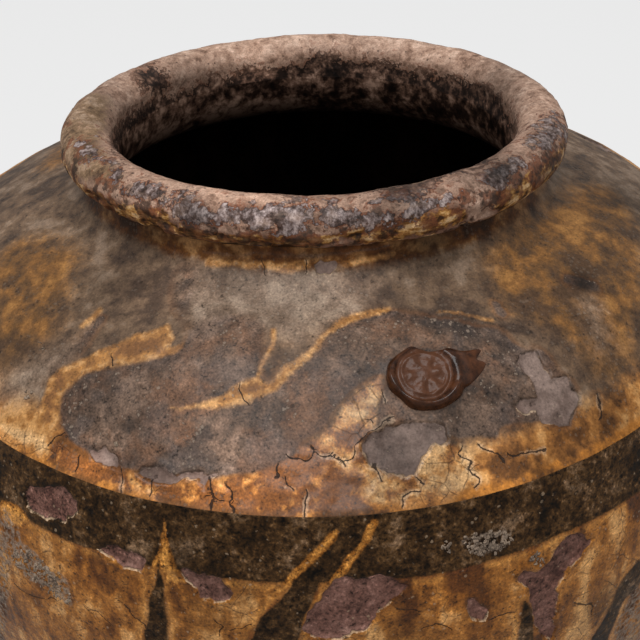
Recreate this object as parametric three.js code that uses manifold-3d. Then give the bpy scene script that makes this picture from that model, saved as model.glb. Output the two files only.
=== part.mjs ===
// A glazed stoneware vinegar jar, as the potter built it: a base disc, two wall sections,
// a domed shoulder, a neck collar and a rolled rim, luted one on the other. A dark glaze liner
// makes it hold liquid, a flaking amber and iron-brown glaze covers the outside, and a blob of
// stamped wax sits on the shoulder.
// Millimetres, +Z up, origin in the middle of the foot, -Y is the front.
import * as THREE from "three";
import { mergeVertices } from "three/addons/utils/BufferGeometryUtils.js";
import Module from "manifold-3d";

const wasm = await Module();
wasm.setup();
const radians = THREE.MathUtils.degToRad;

// Clay body
const footRadius = 87;
const footChamfer = 2.5;
const baseThickness = 11;
const wallThickness = 8;
const wallSeamHeight = 118; // where the two wall sections are luted
const tuckHeight = 90; // the wall is drawn in towards the foot below about this height
const bellySwell = 6.3; // how much further the wall swells below the band
const bellyDrop = 62; // ridge to the widest part
const bandDrop = 15.5; // height of the painted band under the ridge
const bandFlare = 5.6; // how far the wall leans out over that height
const ridgeHeight = 244;
const ridgeRadius = 127.6;
const shoulderRise = 20.6; // ridge to the foot of the neck
const shoulderCrown = 2.1; // how far the shoulder swells above a straight cone
const neckRise = 12.8;
const neckFlare = 14.5; // the neck spreads by this much as it runs into the shoulder
const scarf = 5; // slant of the luted seams, measured along the wall

// Rolled rim
const mouthRadius = 62.3;
const lipOverhang = 7.4; // the roll stands out past the neck by this much
const lipDrop = 6; // seat to the widest part of the roll
const lipCrown = 6.8; // widest part to the top
const mouthTilt = 2.5; // degrees, higher at the front

// Glaze and seams
const lutingGap = 0.4; // between one clay section and the next
const glazeGap = 0.3; // between clay and glaze, and between glaze and wax
const glazeThickness = 1;
const linerThickness = 1;
const glazeLine = 40; // height where the outside glaze stops above the foot
const glazeSeam = 0.4; // between neighbouring glaze fields

// Wax seal
const sealAzimuth = 13.7; // degrees round from the front, to the right
const sealDrop = 27; // from the seal's middle down the shoulder to the ridge
const sealRadius = 8.7;
const sealThickness = 1.7;
const beadRise = 1.1; // the squeezed-out edge stands this much above the stamped face
const beadWidth = 2.5;
const tailReach = 7.4; // drip pulled out past the disc
const tailTurn = 12; // degrees, 0 is to the right along the shoulder and 90 is uphill
const tailSpread = 26; // degrees

// Flaked glaze: degrees round from the front, the share of the way down the glaze field, the
// patch's width and height, and its turn in degrees
const flakeSmall = 4;
const flakeMedium = 11;
const flakeLarge = 17;
const flakeLong = 28;
const flakes = {
  shoulder_glaze: [
    { azimuth: 28.4, down: 0.765, width: flakeLarge, height: flakeLarge, turn: -20 },
    { azimuth: 9.3, down: 0.82, width: flakeLarge, height: flakeMedium, turn: 10 },
    { azimuth: -17.5, down: 0.925, width: flakeMedium, height: flakeSmall, turn: -8 },
    { azimuth: 112, down: 0.75, width: flakeLarge, height: flakeMedium, turn: 0 },
    { azimuth: -160, down: 0.65, width: flakeLarge, height: flakeLarge, turn: 40 },
  ],
  band_glaze: [{ azimuth: -30, down: 0.5, width: flakeLarge, height: 2 * flakeSmall, turn: 10 }],
  wall_glaze: [
    { azimuth: 3.9, down: 0.045, width: flakeLarge, height: flakeMedium, turn: 12 },
    { azimuth: -20.8, down: 0.018, width: flakeMedium, height: flakeSmall, turn: -15 },
    { azimuth: 25.5, down: 0.1, width: flakeMedium, height: flakeLong, turn: -12 },
    { azimuth: 95, down: 0.22, width: flakeLong, height: flakeLarge, turn: 30 },
    { azimuth: 150, down: 0.47, width: flakeLarge, height: flakeLong, turn: 0 },
    { azimuth: -110, down: 0.3, width: flakeLong, height: flakeLarge, turn: -35 },
  ],
};
const flakeRagged = 0.14; // how far the lobes stand in and out, as a share of the outline
const flakeSteps = 20;

// Facets
const turnSteps = 48;
const lipSteps = 8;
const sealSteps = 40;

const clay = new THREE.MeshStandardMaterial({ color: 0x6b4a45, roughness: 0.9, metalness: 0 });
const bareLip = new THREE.MeshStandardMaterial({ color: 0x9a7a68, roughness: 0.85, metalness: 0 });
const amber = new THREE.MeshStandardMaterial({ color: 0x8a5a1e, roughness: 0.4, metalness: 0 });
const ironBrown = new THREE.MeshStandardMaterial({ color: 0x33271c, roughness: 0.5, metalness: 0 });
const darkLiner = new THREE.MeshStandardMaterial({ color: 0x1b1411, roughness: 0.45, metalness: 0 });
const wax = new THREE.MeshStandardMaterial({ color: 0x4a2a18, roughness: 0.35, metalness: 0 });

// Fits that follow from the sizes above
const glazeOutside = glazeGap + glazeThickness;
const linerOutside = wallThickness + glazeGap;
const linerInside = linerOutside + linerThickness;
const neckRadius = mouthRadius + wallThickness;
const bandRadius = ridgeRadius + bandFlare;
const bellyRadius = bandRadius + bellySwell;
const neckFootHeight = ridgeHeight + shoulderRise;
const neckTopHeight = neckFootHeight + neckRise;
const lipSeatHeight = neckTopHeight + lutingGap;
const wallFootHeight = baseThickness + lutingGap;

// Stations of the clay's outer line, as (radius, height)
const neckTop = new THREE.Vector2(neckRadius, neckTopHeight);
const neckFoot = new THREE.Vector2(neckRadius + neckFlare, neckFootHeight);
const ridge = new THREE.Vector2(ridgeRadius, ridgeHeight);
const bandFoot = new THREE.Vector2(bandRadius, ridgeHeight - bandDrop);
const belly = new THREE.Vector2(bellyRadius, ridgeHeight - bellyDrop);
const foot = new THREE.Vector2(footRadius, wallFootHeight);

// The point that a quadratic curve between two stations is drawn towards, for a given swelling.
function crownControl(start, end, crown) {
  const chord = end.clone().sub(start);
  const outward = new THREE.Vector2(-chord.y, chord.x).normalize();
  return start.clone().add(end).multiplyScalar(0.5).addScaledVector(outward, 2 * crown);
}

// The clay's outer line from under the lip to the foot: each stretch with its number of steps.
function outerStretches() {
  const quadratic = (a, control, b) => new THREE.QuadraticBezierCurve(a, control, b);
  const shoulderBend = crownControl(neckFoot, ridge, shoulderCrown);
  const shoulderPitch = (neckFoot.y - shoulderBend.y) / (shoulderBend.x - neckFoot.x);
  const neckBend = new THREE.Vector2(neckTop.x, neckFoot.y + neckFlare * shoulderPitch);
  const bellyBend = new THREE.Vector2(belly.x, (bandFoot.y + belly.y) / 2);
  const tuckBend = new THREE.Vector2(belly.x, tuckHeight);
  return {
    neck: { curve: quadratic(neckTop, neckBend, neckFoot), steps: 4 },
    shoulder: { curve: quadratic(neckFoot, shoulderBend, ridge), steps: 5 },
    band: { curve: new THREE.LineCurve(ridge, bandFoot), steps: 1 },
    belly: { curve: quadratic(bandFoot, bellyBend, belly), steps: 2 },
    tuck: { curve: quadratic(belly, tuckBend, foot), steps: 5 },
  };
}

// A line through stations that can be pushed outwards or inwards and cut anywhere along it.
class WallLine {
  constructor(stretches) {
    this.points = [];
    this.ends = {};
    for (const [name, { curve, steps }] of Object.entries(stretches)) {
      this.points.push(...curve.getPoints(steps).slice(this.points.length ? 1 : 0));
      this.ends[name] = this.points.length - 1;
    }
    this.lengths = [0];
    for (let i = 1; i < this.points.length; i++) {
      this.lengths.push(this.lengths[i - 1] + this.points[i].distanceTo(this.points[i - 1]));
    }
    this.mitres = this.points.map((_, i) => this.mitre(i));
  }

  // The unit outward normal of the step that starts at station i.
  stepNormal(i) {
    const along = this.points[i + 1].clone().sub(this.points[i]).normalize();
    return new THREE.Vector2(-along.y, along.x);
  }

  // The move of station i that shifts the steps on both sides of it outwards by one. The line's two
  // ends move level, so that the sections there are cut flat.
  mitre(i) {
    const last = this.points.length - 1;
    const before = this.stepNormal(Math.max(i - 1, 0));
    const after = this.stepNormal(Math.min(i, last - 1));
    if (i === 0 || i === last) return new THREE.Vector2(1 / after.x, 0);
    return before.clone().add(after).divideScalar(1 + before.dot(after));
  }

  get length() {
    return this.lengths[this.lengths.length - 1];
  }

  // How far along the line a named stretch ends.
  end(name) {
    return this.lengths[this.ends[name]];
  }

  // How far along the line the wall is at a height; heights fall all the way along it.
  alongAtHeight(height) {
    const next = this.points.findIndex((p) => p.y <= height);
    const [above, below] = [this.points[next - 1], this.points[next]];
    const share = (above.y - height) / (above.y - below.y);
    return THREE.MathUtils.lerp(this.lengths[next - 1], this.lengths[next], share);
  }

  // The point at a length along the line, pushed outwards.
  at(along, outwards) {
    const next = this.lengths.findIndex((l) => l >= along);
    const i = Math.max(next - 1, 0);
    const share = (along - this.lengths[i]) / (this.lengths[i + 1] - this.lengths[i]);
    const move = this.mitres[i].clone().lerp(this.mitres[i + 1], share);
    return this.points[i].clone().lerp(this.points[i + 1], share).addScaledVector(move, outwards);
  }

  // The line between two lengths, pushed outwards, with a point at every station in between.
  stretch(from, to, outwards) {
    const inner = this.lengths.filter((l) => l > from + lutingGap && l < to - lutingGap);
    return [from, ...inner, to].map((l) => this.at(l, outwards));
  }

  // The frame at a place on the wall: X runs round to the right, Y uphill and Z stands out of it.
  frame(azimuth, along) {
    const place = this.at(along, 0);
    const step = this.at(along + lutingGap, 0).sub(place).normalize();
    const right = new THREE.Vector3(1, 0, 0);
    const uphill = new THREE.Vector3(0, step.x, -step.y);
    const outward = new THREE.Vector3(0, step.y, step.x);
    const frame = new THREE.Matrix4().makeBasis(right, uphill, outward).setPosition(0, -place.x, place.y);
    return frame.premultiply(new THREE.Matrix4().makeRotationZ(radians(azimuth)));
  }
}

const wallLine = new WallLine(outerStretches());
const neckSeam = wallLine.end("neck");
const ridgeSeam = wallLine.end("shoulder");
const bandSeam = wallLine.end("band");
const wallSeam = wallLine.alongAtHeight(wallSeamHeight);
const glazeEnd = wallLine.alongAtHeight(glazeLine);

// Turns a profile of (radius, height) points round the jar's axis.
function turned(profile) {
  return new THREE.LatheGeometry(profile, turnSteps).rotateX(Math.PI / 2);
}

// A ring between two offsets of the wall line. Its ends can slant along the wall, as scarfed seams do.
function wallRing(from, to, outer, inner, slantFrom = 0, slantTo = 0) {
  const outside = wallLine.stretch(from, to, outer);
  const inside = wallLine.stretch(from + slantFrom, to + slantTo, inner).reverse();
  return turned([...outside, ...inside, outside[0]].reverse());
}

// Lifts the mouth at the front: nothing moves below the ridge, and the neck and lip tilt fully.
function tiltMouth(geometry) {
  const rise = Math.tan(radians(mouthTilt));
  const place = geometry.getAttribute("position");
  for (let i = 0; i < place.count; i++) {
    const share = THREE.MathUtils.smoothstep(place.getZ(i), ridgeHeight, neckFootHeight);
    place.setZ(i, place.getZ(i) - rise * share * place.getY(i));
  }
  return geometry;
}

// A closed geometry as a solid that can be cut.
function solidOf(geometry) {
  const bare = new THREE.BufferGeometry().setAttribute("position", geometry.getAttribute("position"));
  if (geometry.index) bare.setIndex(geometry.index);
  const merged = mergeVertices(bare, 1e-4);
  const vertProperties = new Float32Array(merged.getAttribute("position").array);
  const triVerts = new Uint32Array(merged.index.array);
  return new wasm.Manifold(new wasm.Mesh({ numProp: 3, vertProperties, triVerts }));
}

// A cut solid as a geometry again.
function geometryOf(solid) {
  const { vertProperties, triVerts } = solid.getMesh();
  return new THREE.BufferGeometry()
    .setAttribute("position", new THREE.BufferAttribute(vertProperties, 3))
    .setIndex(new THREE.BufferAttribute(triVerts, 1));
}

function baseDisc() {
  return turned([
    new THREE.Vector2(0, 0),
    new THREE.Vector2(footRadius - footChamfer, 0),
    new THREE.Vector2(footRadius, footChamfer),
    new THREE.Vector2(footRadius, baseThickness),
    new THREE.Vector2(0, baseThickness),
  ]);
}

// A clay section between two places on the wall line.
function claySection(from, to, slantFrom, slantTo) {
  return wallRing(from, to, 0, -wallThickness, slantFrom, slantTo);
}

// The roll: a half-round top over the neck's wall, with a quarter round tucked under to the neck.
function rolledRim() {
  const halfWidth = (wallThickness + lipOverhang) / 2;
  const widest = lipSeatHeight + lipDrop;
  const profile = [new THREE.Vector2(mouthRadius, lipSeatHeight)];
  for (let i = 0; i <= lipSteps; i++) {
    const turn = Math.PI * (1 - i / lipSteps);
    const radius = mouthRadius + halfWidth * (1 + Math.cos(turn));
    profile.push(new THREE.Vector2(radius, widest + Math.sin(turn) * lipCrown));
  }
  const underSteps = lipSteps / 2;
  for (let i = 1; i <= underSteps; i++) {
    const turn = (Math.PI * i) / lipSteps;
    const radius = neckRadius + Math.cos(turn) * lipOverhang;
    profile.push(new THREE.Vector2(radius, widest - Math.sin(turn) * lipDrop));
  }
  return turned([...profile, profile[0]].reverse());
}

// The liner covers the base and the inside of the wall up to the lip's seat.
function linerGlaze() {
  const floor = baseThickness + glazeGap;
  const clayFace = wallLine.stretch(0, wallLine.length, -linerOutside).reverse();
  const vinegarFace = wallLine.stretch(0, wallLine.length - 2 * linerThickness, -linerInside);
  const underFloor = new THREE.Vector2(0, floor);
  const overFloor = new THREE.Vector2(0, floor + linerThickness);
  return turned([underFloor, ...clayFace, ...vinegarFace, overFloor]);
}

// A plug with a ragged outline, standing square on the wall, that cuts one flaked patch.
function flakePlug({ azimuth, width, height, turn }, along) {
  const outline = [];
  for (let i = 0; i < flakeSteps; i++) {
    const round = (2 * Math.PI * i) / flakeSteps;
    const reach = 1 + flakeRagged * (Math.sin(2 * round + azimuth) + Math.sin(3 * round + turn));
    const x = (Math.cos(round) * reach * width) / 2;
    const y = (Math.sin(round) * reach * height) / 2;
    outline.push(new THREE.Vector2(x, y));
  }
  const depth = 6 * glazeOutside;
  const plug = new THREE.ExtrudeGeometry(new THREE.Shape(outline), { depth, bevelEnabled: false });
  plug.translate(0, 0, -depth / 2).rotateZ(radians(turn));
  return solidOf(plug.applyMatrix4(wallLine.frame(azimuth, along)));
}

// A field of the outside glaze, flaked off in patches.
function glazeField(name, from, to) {
  let field = solidOf(wallRing(from, to, glazeOutside, glazeGap));
  for (const flake of flakes[name]) {
    field = field.subtract(flakePlug(flake, THREE.MathUtils.lerp(from, to, flake.down)));
  }
  return geometryOf(field);
}

// A point of the wax, so far to the right and uphill of the seal's middle, draped over the glaze.
function sealPoint(right, uphill, height) {
  const place = wallLine.at(ridgeSeam - sealDrop - uphill, glazeOutside + glazeGap + height);
  const azimuth = radians(sealAzimuth) + right / place.x;
  return [Math.sin(azimuth) * place.x, -Math.cos(azimuth) * place.x, place.y];
}

// How far the wax reaches in a direction: the disc, and the drip pulled out to one side.
function sealEdge(round) {
  const off = THREE.MathUtils.euclideanModulo(round - radians(tailTurn) + Math.PI, 2 * Math.PI) - Math.PI;
  const spread = off / radians(tailSpread);
  return sealRadius + tailReach * Math.exp(-spread * spread);
}

// Stamped wax: rings of points from the sunken face over the bead to the edge, top first.
function waxSeal() {
  const stampRadius = sealRadius - beadWidth;
  const beadTop = sealThickness + beadRise;
  const bead = (share) => (round) => THREE.MathUtils.lerp(stampRadius, sealEdge(round), share);
  const rings = [
    { reach: () => stampRadius / 2, height: sealThickness },
    { reach: bead(0), height: sealThickness },
    { reach: bead(0.3), height: beadTop },
    { reach: bead(0.65), height: beadTop },
    { reach: bead(1), height: beadRise },
    { reach: bead(1), height: 0 },
  ];
  const points = [...sealPoint(0, 0, sealThickness)];
  for (const { reach, height } of rings) {
    for (let i = 0; i < sealSteps; i++) {
      const round = (2 * Math.PI * i) / sealSteps;
      points.push(...sealPoint(Math.cos(round) * reach(round), Math.sin(round) * reach(round), height));
    }
  }
  points.push(...sealPoint(0, 0, 0));
  return new THREE.BufferGeometry()
    .setAttribute("position", new THREE.Float32BufferAttribute(points, 3))
    .setIndex(sealFaces(rings.length));
}

// Triangles between the wax's rings, with a fan at the middle of the top and of the underside.
function sealFaces(ringCount) {
  const faces = [];
  const at = (ring, i) => 1 + ring * sealSteps + (i % sealSteps);
  const top = 0;
  const underside = 1 + ringCount * sealSteps;
  for (let i = 0; i < sealSteps; i++) {
    faces.push(top, at(0, i), at(0, i + 1));
    for (let ring = 1; ring < ringCount; ring++) {
      faces.push(at(ring - 1, i), at(ring, i), at(ring, i + 1));
      faces.push(at(ring - 1, i), at(ring, i + 1), at(ring - 1, i + 1));
    }
    faces.push(at(ringCount - 1, i), underside, at(ringCount - 1, i + 1));
  }
  return faces;
}

// A named piece of the jar, leaning with the mouth.
function piece(name, geometry, material) {
  const mesh = new THREE.Mesh(tiltMouth(geometry), material);
  mesh.name = name;
  return mesh;
}

const luting = lutingGap / 2;
const clayBody = new THREE.Group().add(
  piece("base_disc", baseDisc(), clay),
  piece("lower_wall", claySection(wallSeam + luting, wallLine.length, scarf, 0), clay),
  piece("upper_wall", claySection(ridgeSeam + luting, wallSeam - luting, scarf, scarf), clay),
  piece("shoulder", claySection(neckSeam + luting, ridgeSeam - luting, scarf, scarf), clay),
  piece("neck_collar", claySection(0, neckSeam - luting, 0, scarf), clay),
  piece("rolled_rim", rolledRim(), bareLip),
);

const seam = glazeSeam / 2;
const glazes = new THREE.Group().add(
  piece("liner_glaze", linerGlaze(), darkLiner),
  piece("shoulder_glaze", glazeField("shoulder_glaze", lutingGap, ridgeSeam - seam), amber),
  piece("band_glaze", glazeField("band_glaze", ridgeSeam + seam, bandSeam - seam), ironBrown),
  piece("wall_glaze", glazeField("wall_glaze", bandSeam + seam, glazeEnd), amber),
);

const jar = new THREE.Group().add(clayBody, glazes, piece("wax_seal", waxSeal(), wax));

export default jar;
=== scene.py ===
"""Dresses the vinegar jar: worn lip, brushed and flaking glaze, dark liner, wax seal and kiln grit."""

import logging
import math
from dataclasses import dataclass, field
from enum import Enum
from functools import cached_property
from typing import Any, Callable, Sequence

import bpy
import numpy as np
from mathutils import Matrix


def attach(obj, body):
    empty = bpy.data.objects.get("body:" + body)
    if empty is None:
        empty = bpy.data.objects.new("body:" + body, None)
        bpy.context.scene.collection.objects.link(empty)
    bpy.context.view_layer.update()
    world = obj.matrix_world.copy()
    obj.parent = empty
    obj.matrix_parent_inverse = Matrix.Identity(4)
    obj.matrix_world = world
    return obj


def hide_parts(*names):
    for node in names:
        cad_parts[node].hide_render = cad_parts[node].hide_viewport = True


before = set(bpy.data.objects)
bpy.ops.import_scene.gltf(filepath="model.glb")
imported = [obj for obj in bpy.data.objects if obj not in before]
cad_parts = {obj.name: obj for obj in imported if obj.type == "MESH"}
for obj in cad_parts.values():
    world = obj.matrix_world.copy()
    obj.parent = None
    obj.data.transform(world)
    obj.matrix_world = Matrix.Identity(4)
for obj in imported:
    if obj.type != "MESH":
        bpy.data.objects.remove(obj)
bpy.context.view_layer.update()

LOG = logging.getLogger("vinegar_jar")
BODY = "root"
MM = 0.001
FAR_OUT = -10.0  # reach, in millimetres, of a point that is well outside every shape

Pair = tuple[float, float]
Points = tuple[Pair, ...]
Colour = tuple[float, float, float, float]
Tones = tuple[Colour, ...]
Array = np.ndarray


def paint(red: int, green: int, blue: int) -> Colour:
    """Turns a colour as seen on a screen, 0 to 255, into the linear colour that a node takes.

    Args:
        red: Red share, 0 to 255.
        green: Green share, 0 to 255.
        blue: Blue share, 0 to 255.

    Returns:
        The linear colour with full opacity.
    """
    shares = [value / 255.0 for value in (red, green, blue)]
    linear = [s / 12.92 if s <= 0.04045 else ((s + 0.055) / 1.055) ** 2.4 for s in shares]
    return (linear[0], linear[1], linear[2], 1.0)


def tones(*seen: tuple[int, int, int]) -> Tones:
    """Paints the colours of a tone ramp, from the darkest to the palest."""
    return tuple(paint(*colour) for colour in seen)


def ease(value: Array, low: float, high: float) -> Array:
    """Rises smoothly from 0 where the value is low to 1 where it is high."""
    share = np.clip((value - low) / (high - low), 0.0, 1.0)
    return share * share * (3.0 - 2.0 * share)


def added(name: str, data: bpy.types.ID) -> bpy.types.Object:
    """Adds an object to the scene.

    Args:
        name: Its name.
        data: Its mesh, camera or lamp.

    Returns:
        The object.
    """
    made = bpy.data.objects.new(name, data)
    bpy.context.scene.collection.objects.link(made)
    return made


def posed(right: Array, upward: Array, back: Array, place: Sequence[float]) -> Matrix:
    """The matrix of a camera or lamp.

    Args:
        right: Direction of its right.
        upward: Direction of its top.
        back: Direction away from what it points at.
        place: Where it stands.

    Returns:
        The matrix.
    """
    turn = np.eye(4)
    turn[:3] = np.stack([right, upward, back, np.array(place)], axis=1)
    return Matrix(turn.tolist())


class Layer(Enum):
    """What a coat's mesh knows about each of its points; reaches are millimetres, positive inside."""

    ALONG = "below_ridge"
    DARK = "dark_slip"
    STROKE = "amber_stroke"
    FLAKE = "flaked_patch"
    TORN = "torn_edge"
    CRACK = "crack_line"
    CLEFT = "crack_side"
    HAZE = "grey_haze"
    GOLD = "gold_patch"
    WARM = "warm_patch"
    # Spots of painted light and shade, which also set broad tone.
    SHADE = "smudge"
    GRIT = "grit"
    ROLL = "round_the_lip"


class Grain:
    """Seeded noise in space, for shapes that the kiln and the weather made."""

    PRIMES = (73856093, 19349663, 83492791)

    def __init__(self, seed: int) -> None:
        """Keeps the seed, so that each use of the noise has its own."""
        self.seed = seed

    def corner(self, cell: Array) -> Array:
        """Gives each whole-numbered cell corner a fixed value.

        Args:
            cell: Whole numbers, three to a corner.

        Returns:
            One value from -1 to 1 for each corner.
        """
        mixed = np.full(cell.shape[:-1], self.seed * 2654435761, dtype=np.uint64)
        for axis, prime in enumerate(self.PRIMES):
            mixed ^= (cell[..., axis].astype(np.int64) * prime).astype(np.uint64)
        mixed &= np.uint64(0xFFFFFFFF)
        for shift, factor in ((15, 2246822519), (13, 3266489917)):
            mixed ^= mixed >> np.uint64(shift)
            mixed = (mixed * np.uint64(factor)) & np.uint64(0xFFFFFFFF)
        mixed ^= mixed >> np.uint64(16)
        return mixed.astype(np.float64) / 2147483648.0 - 1.0

    def at(self, points: Array, size: float) -> Array:
        """Smooth noise at points in space.

        Args:
            points: Points in metres, three numbers each.
            size: Width of a bump in metres.

        Returns:
            Values from about -1 to 1.
        """
        spot = points / size
        cell = np.floor(spot)
        part = spot - cell
        part = part * part * part * (part * (part * 6.0 - 15.0) + 10.0)
        total = np.zeros(points.shape[:-1])
        for step in np.ndindex(2, 2, 2):
            weight = np.ones(points.shape[:-1])
            for axis in range(3):
                weight *= part[..., axis] if step[axis] else 1.0 - part[..., axis]
            total += weight * self.corner(cell + np.array(step))
        return total

    def layered(self, points: Array, size: float, layers: int = 4, fade: float = 0.5) -> Array:
        """Adds finer and weaker noise on top of coarse noise.

        Args:
            points: Points in metres.
            size: Width of the coarsest bump in metres.
            layers: How many layers are added.
            fade: How much weaker each finer layer is.

        Returns:
            Values from about -1 to 1.
        """
        total = np.zeros(points.shape[:-1])
        whole = 0.0
        for layer in range(layers):
            total += fade ** layer * self.at(points + 0.37 * layer, size / 2.0 ** layer)
            whole += fade ** layer
        return total / whole


@dataclass(frozen=True)
class Bumps:
    """Uneven ground, by its height, and by the seed, the width in metres and the layers of its noise."""

    height: float
    seed: int
    size: float
    layers: int

    def at(self, points: Array) -> Array:
        """How far up or down it goes at points in space."""
        return self.height * Grain(self.seed).layered(points, self.size, self.layers)


def curve(start: Pair, pull: Pair, end: Pair, count: int) -> Array:
    """Points on a quadratic curve.

    Args:
        start: First point.
        pull: Control point.
        end: Last point.
        count: Number of steps.

    Returns:
        The points, one more than the steps.
    """
    share = np.linspace(0.0, 1.0, count + 1)[:, None]
    first, middle, last = (np.asarray(point, float) for point in (start, pull, end))
    return (1 - share) ** 2 * first + 2 * share * (1 - share) * middle + share ** 2 * last


@dataclass(frozen=True)
class WallLine:
    """The jar's outer line from the neck down to the foot, in metres, as the solids have it.

    A place on it is given by its azimuth, 0 at the front, and by its way along the line below the ridge.
    """

    neck_top: Pair = (0.0703, 0.2774)
    neck_foot: Pair = (0.0848, 0.2646)
    ridge: Pair = (0.1276, 0.2440)
    shoulder_swell: float = 0.0042
    band_foot: Pair = (0.1332, 0.2285)
    belly: Pair = (0.1395, 0.1820)
    tuck: float = 0.0900
    foot: Pair = (0.0870, 0.0114)
    glaze: float = 0.0013
    clay: float = 0.0080
    mouth_tilt: float = math.radians(2.5)

    @cached_property
    def stations(self) -> tuple[Array, Array, Array]:
        """The line's points, the outward step at each of them, and the way along to each of them."""
        chord = np.subtract(self.ridge, self.neck_foot)
        outward = np.array([-chord[1], chord[0]]) / np.linalg.norm(chord)
        crown = np.add(self.ridge, self.neck_foot) / 2.0 + outward * self.shoulder_swell
        pitch = (self.neck_foot[1] - crown[1]) / (crown[0] - self.neck_foot[0])
        bend = (self.neck_top[0], self.neck_foot[1] + pitch * (self.neck_foot[0] - self.neck_top[0]))
        neck = curve(self.neck_top, bend, self.neck_foot, 80)
        shoulder = curve(self.neck_foot, tuple(crown), self.ridge, 200)
        band = np.linspace(self.ridge, self.band_foot, 61)
        halfway = (self.belly[0], (self.band_foot[1] + self.belly[1]) / 2)
        swell = curve(self.band_foot, halfway, self.belly, 80)
        tuck = curve(self.belly, (self.belly[0], self.tuck), self.foot, 240)
        points = np.concatenate([neck, shoulder[1:], band[1:], swell[1:], tuck[1:]])
        steps = np.diff(points, axis=0)
        normals = np.stack([-steps[:, 1], steps[:, 0]], axis=1)
        normals /= np.linalg.norm(normals, axis=1)[:, None]
        lean = 1.0 + (normals[1:] * normals[:-1]).sum(axis=1)
        mitres = np.concatenate([normals[:1], (normals[1:] + normals[:-1]) / lean[:, None], normals[-1:]])
        along = np.concatenate([[0.0], np.cumsum(np.linalg.norm(steps, axis=1))])
        along -= along[len(neck) + len(shoulder) - 2]
        return points + self.glaze * mitres, mitres, along

    @property
    def top(self) -> float:
        """Way along to the top of the neck, which is above the ridge and so below zero."""
        return float(self.stations[2][0])

    @property
    def bottom(self) -> float:
        """Way along to the foot."""
        return float(self.stations[2][-1])

    def radius(self, along: Array) -> Array:
        """How far from the axis the line is at each way along."""
        points, _, ways = self.stations
        return np.interp(along, ways, points[:, 0])

    def tipped(self, points: Array) -> Array:
        """How far the tipped mouth brings points down, in metres."""
        share = ease(points[..., 2], self.ridge[1], self.neck_foot[1])
        return math.tan(self.mouth_tilt) * share * points[..., 1]

    def lean(self, points: Array) -> Array:
        """Tips the neck and lip forward and up, as on the real jar; the points change in place."""
        points[..., 2] -= self.tipped(points)
        return points

    def place(self, azimuth: Array, along: Array, out: Array | float = 0.0) -> Array:
        """Points on the jar, or a little off its surface.

        Args:
            azimuth: Angles round the jar, 0 at the front and growing to the right.
            along: Ways along the line below the ridge, in metres.
            out: How far outwards from the surface, in metres.

        Returns:
            Points in metres.
        """
        points, mitres, ways = self.stations
        radius = np.interp(along, ways, points[:, 0]) + out * np.interp(along, ways, mitres[:, 0])
        height = np.interp(along, ways, points[:, 1]) + out * np.interp(along, ways, mitres[:, 1])
        across, deep = radius * np.sin(azimuth), -radius * np.cos(azimuth)
        return self.lean(np.stack([across, deep, height + 0.0 * azimuth], axis=-1))


@dataclass(frozen=True)
class PhotoCamera:
    """The camera that took the photograph, found from the lip, the ridge and the band."""

    place: tuple[float, float, float] = (0.0, -0.26628, 0.39725)
    pitch: float = 0.621
    roll: float = -0.024
    focal: float = 900.0
    middle: Pair = (318.714, 320.0)
    picture: float = 640.0
    sensor: float = 36.0
    near: float = 0.06
    far: float = 0.46
    steps: int = 1200
    halvings: int = 24
    clip: float = 0.01

    @cached_property
    def axes(self) -> tuple[Array, Array, Array]:
        """Right, up and forward of the camera."""
        forward = np.array([0.0, math.cos(self.pitch), -math.sin(self.pitch)])
        level = np.array([1.0, 0.0, 0.0])
        upright = np.cross(level, forward)
        right = math.cos(self.roll) * level + math.sin(self.roll) * upright
        upward = -math.sin(self.roll) * level + math.cos(self.roll) * upright
        return right, upward, forward

    def on_wall(self, line: WallLine, pixels: Sequence[Pair]) -> Array:
        """Finds the places on the jar that pixels of the photograph show.

        Args:
            line: The jar's outer line.
            pixels: The pixels.

        Returns:
            The azimuth and the way along of each.
        """
        right, upward, forward = self.axes
        across, down = (np.array(pixels, float) - self.middle).T[..., None] / self.focal
        rays = forward + across * right - down * upward
        points, _, ways = line.stations
        rising = points[::-1]

        def within(reach: Array) -> Array:
            """Whether each ray is inside the jar at some reach."""
            spots = self.place + reach[..., None] * rays[:, None, :]
            height = spots[..., 2] + line.tipped(spots)
            wall = np.interp(height, rising[:, 1], rising[:, 0])
            return (np.hypot(spots[..., 0], spots[..., 1]) < wall) & (height < rising[-1, 1])

        steps = np.broadcast_to(np.linspace(self.near, self.far, self.steps), (len(rays), self.steps))
        first = np.argmax(within(steps), axis=1)
        high = steps[0, first][:, None]
        low = steps[0, np.maximum(first - 1, 0)][:, None]
        for _ in range(self.halvings):
            half = (low + high) / 2.0
            hit = within(half)
            high = np.where(hit, half, high)
            low = np.where(hit, low, half)
        spots = self.place + high * rays
        azimuth = np.arctan2(spots[:, 0], -spots[:, 1])
        along = np.interp(spots[:, 2] + line.tipped(spots), rising[:, 1], ways[::-1])
        return np.stack([azimuth, along], axis=1)

    def pixels(self, points: Array) -> Array:
        """Finds where points in space appear in the photograph.

        Args:
            points: Points in metres.

        Returns:
            Pixels, two numbers each.
        """
        right, upward, forward = self.axes
        away = points - self.place
        depth = away @ forward
        across = self.middle[0] + self.focal * (away @ right) / depth
        down = self.middle[1] - self.focal * (away @ upward) / depth
        return np.stack([across, down], axis=-1)

    def add(self) -> None:
        """Adds the camera to the scene."""
        right, upward, forward = self.axes
        data = bpy.data.cameras.new("photo_camera")
        data.sensor_width = self.sensor
        data.lens = self.focal / self.picture * self.sensor
        data.shift_x = (self.picture / 2.0 - self.middle[0]) / self.picture
        data.clip_start = self.clip
        camera = added("photo_camera", data)
        camera.matrix_world = posed(right, upward, -forward, self.place)
        bpy.context.scene.camera = camera


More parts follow.
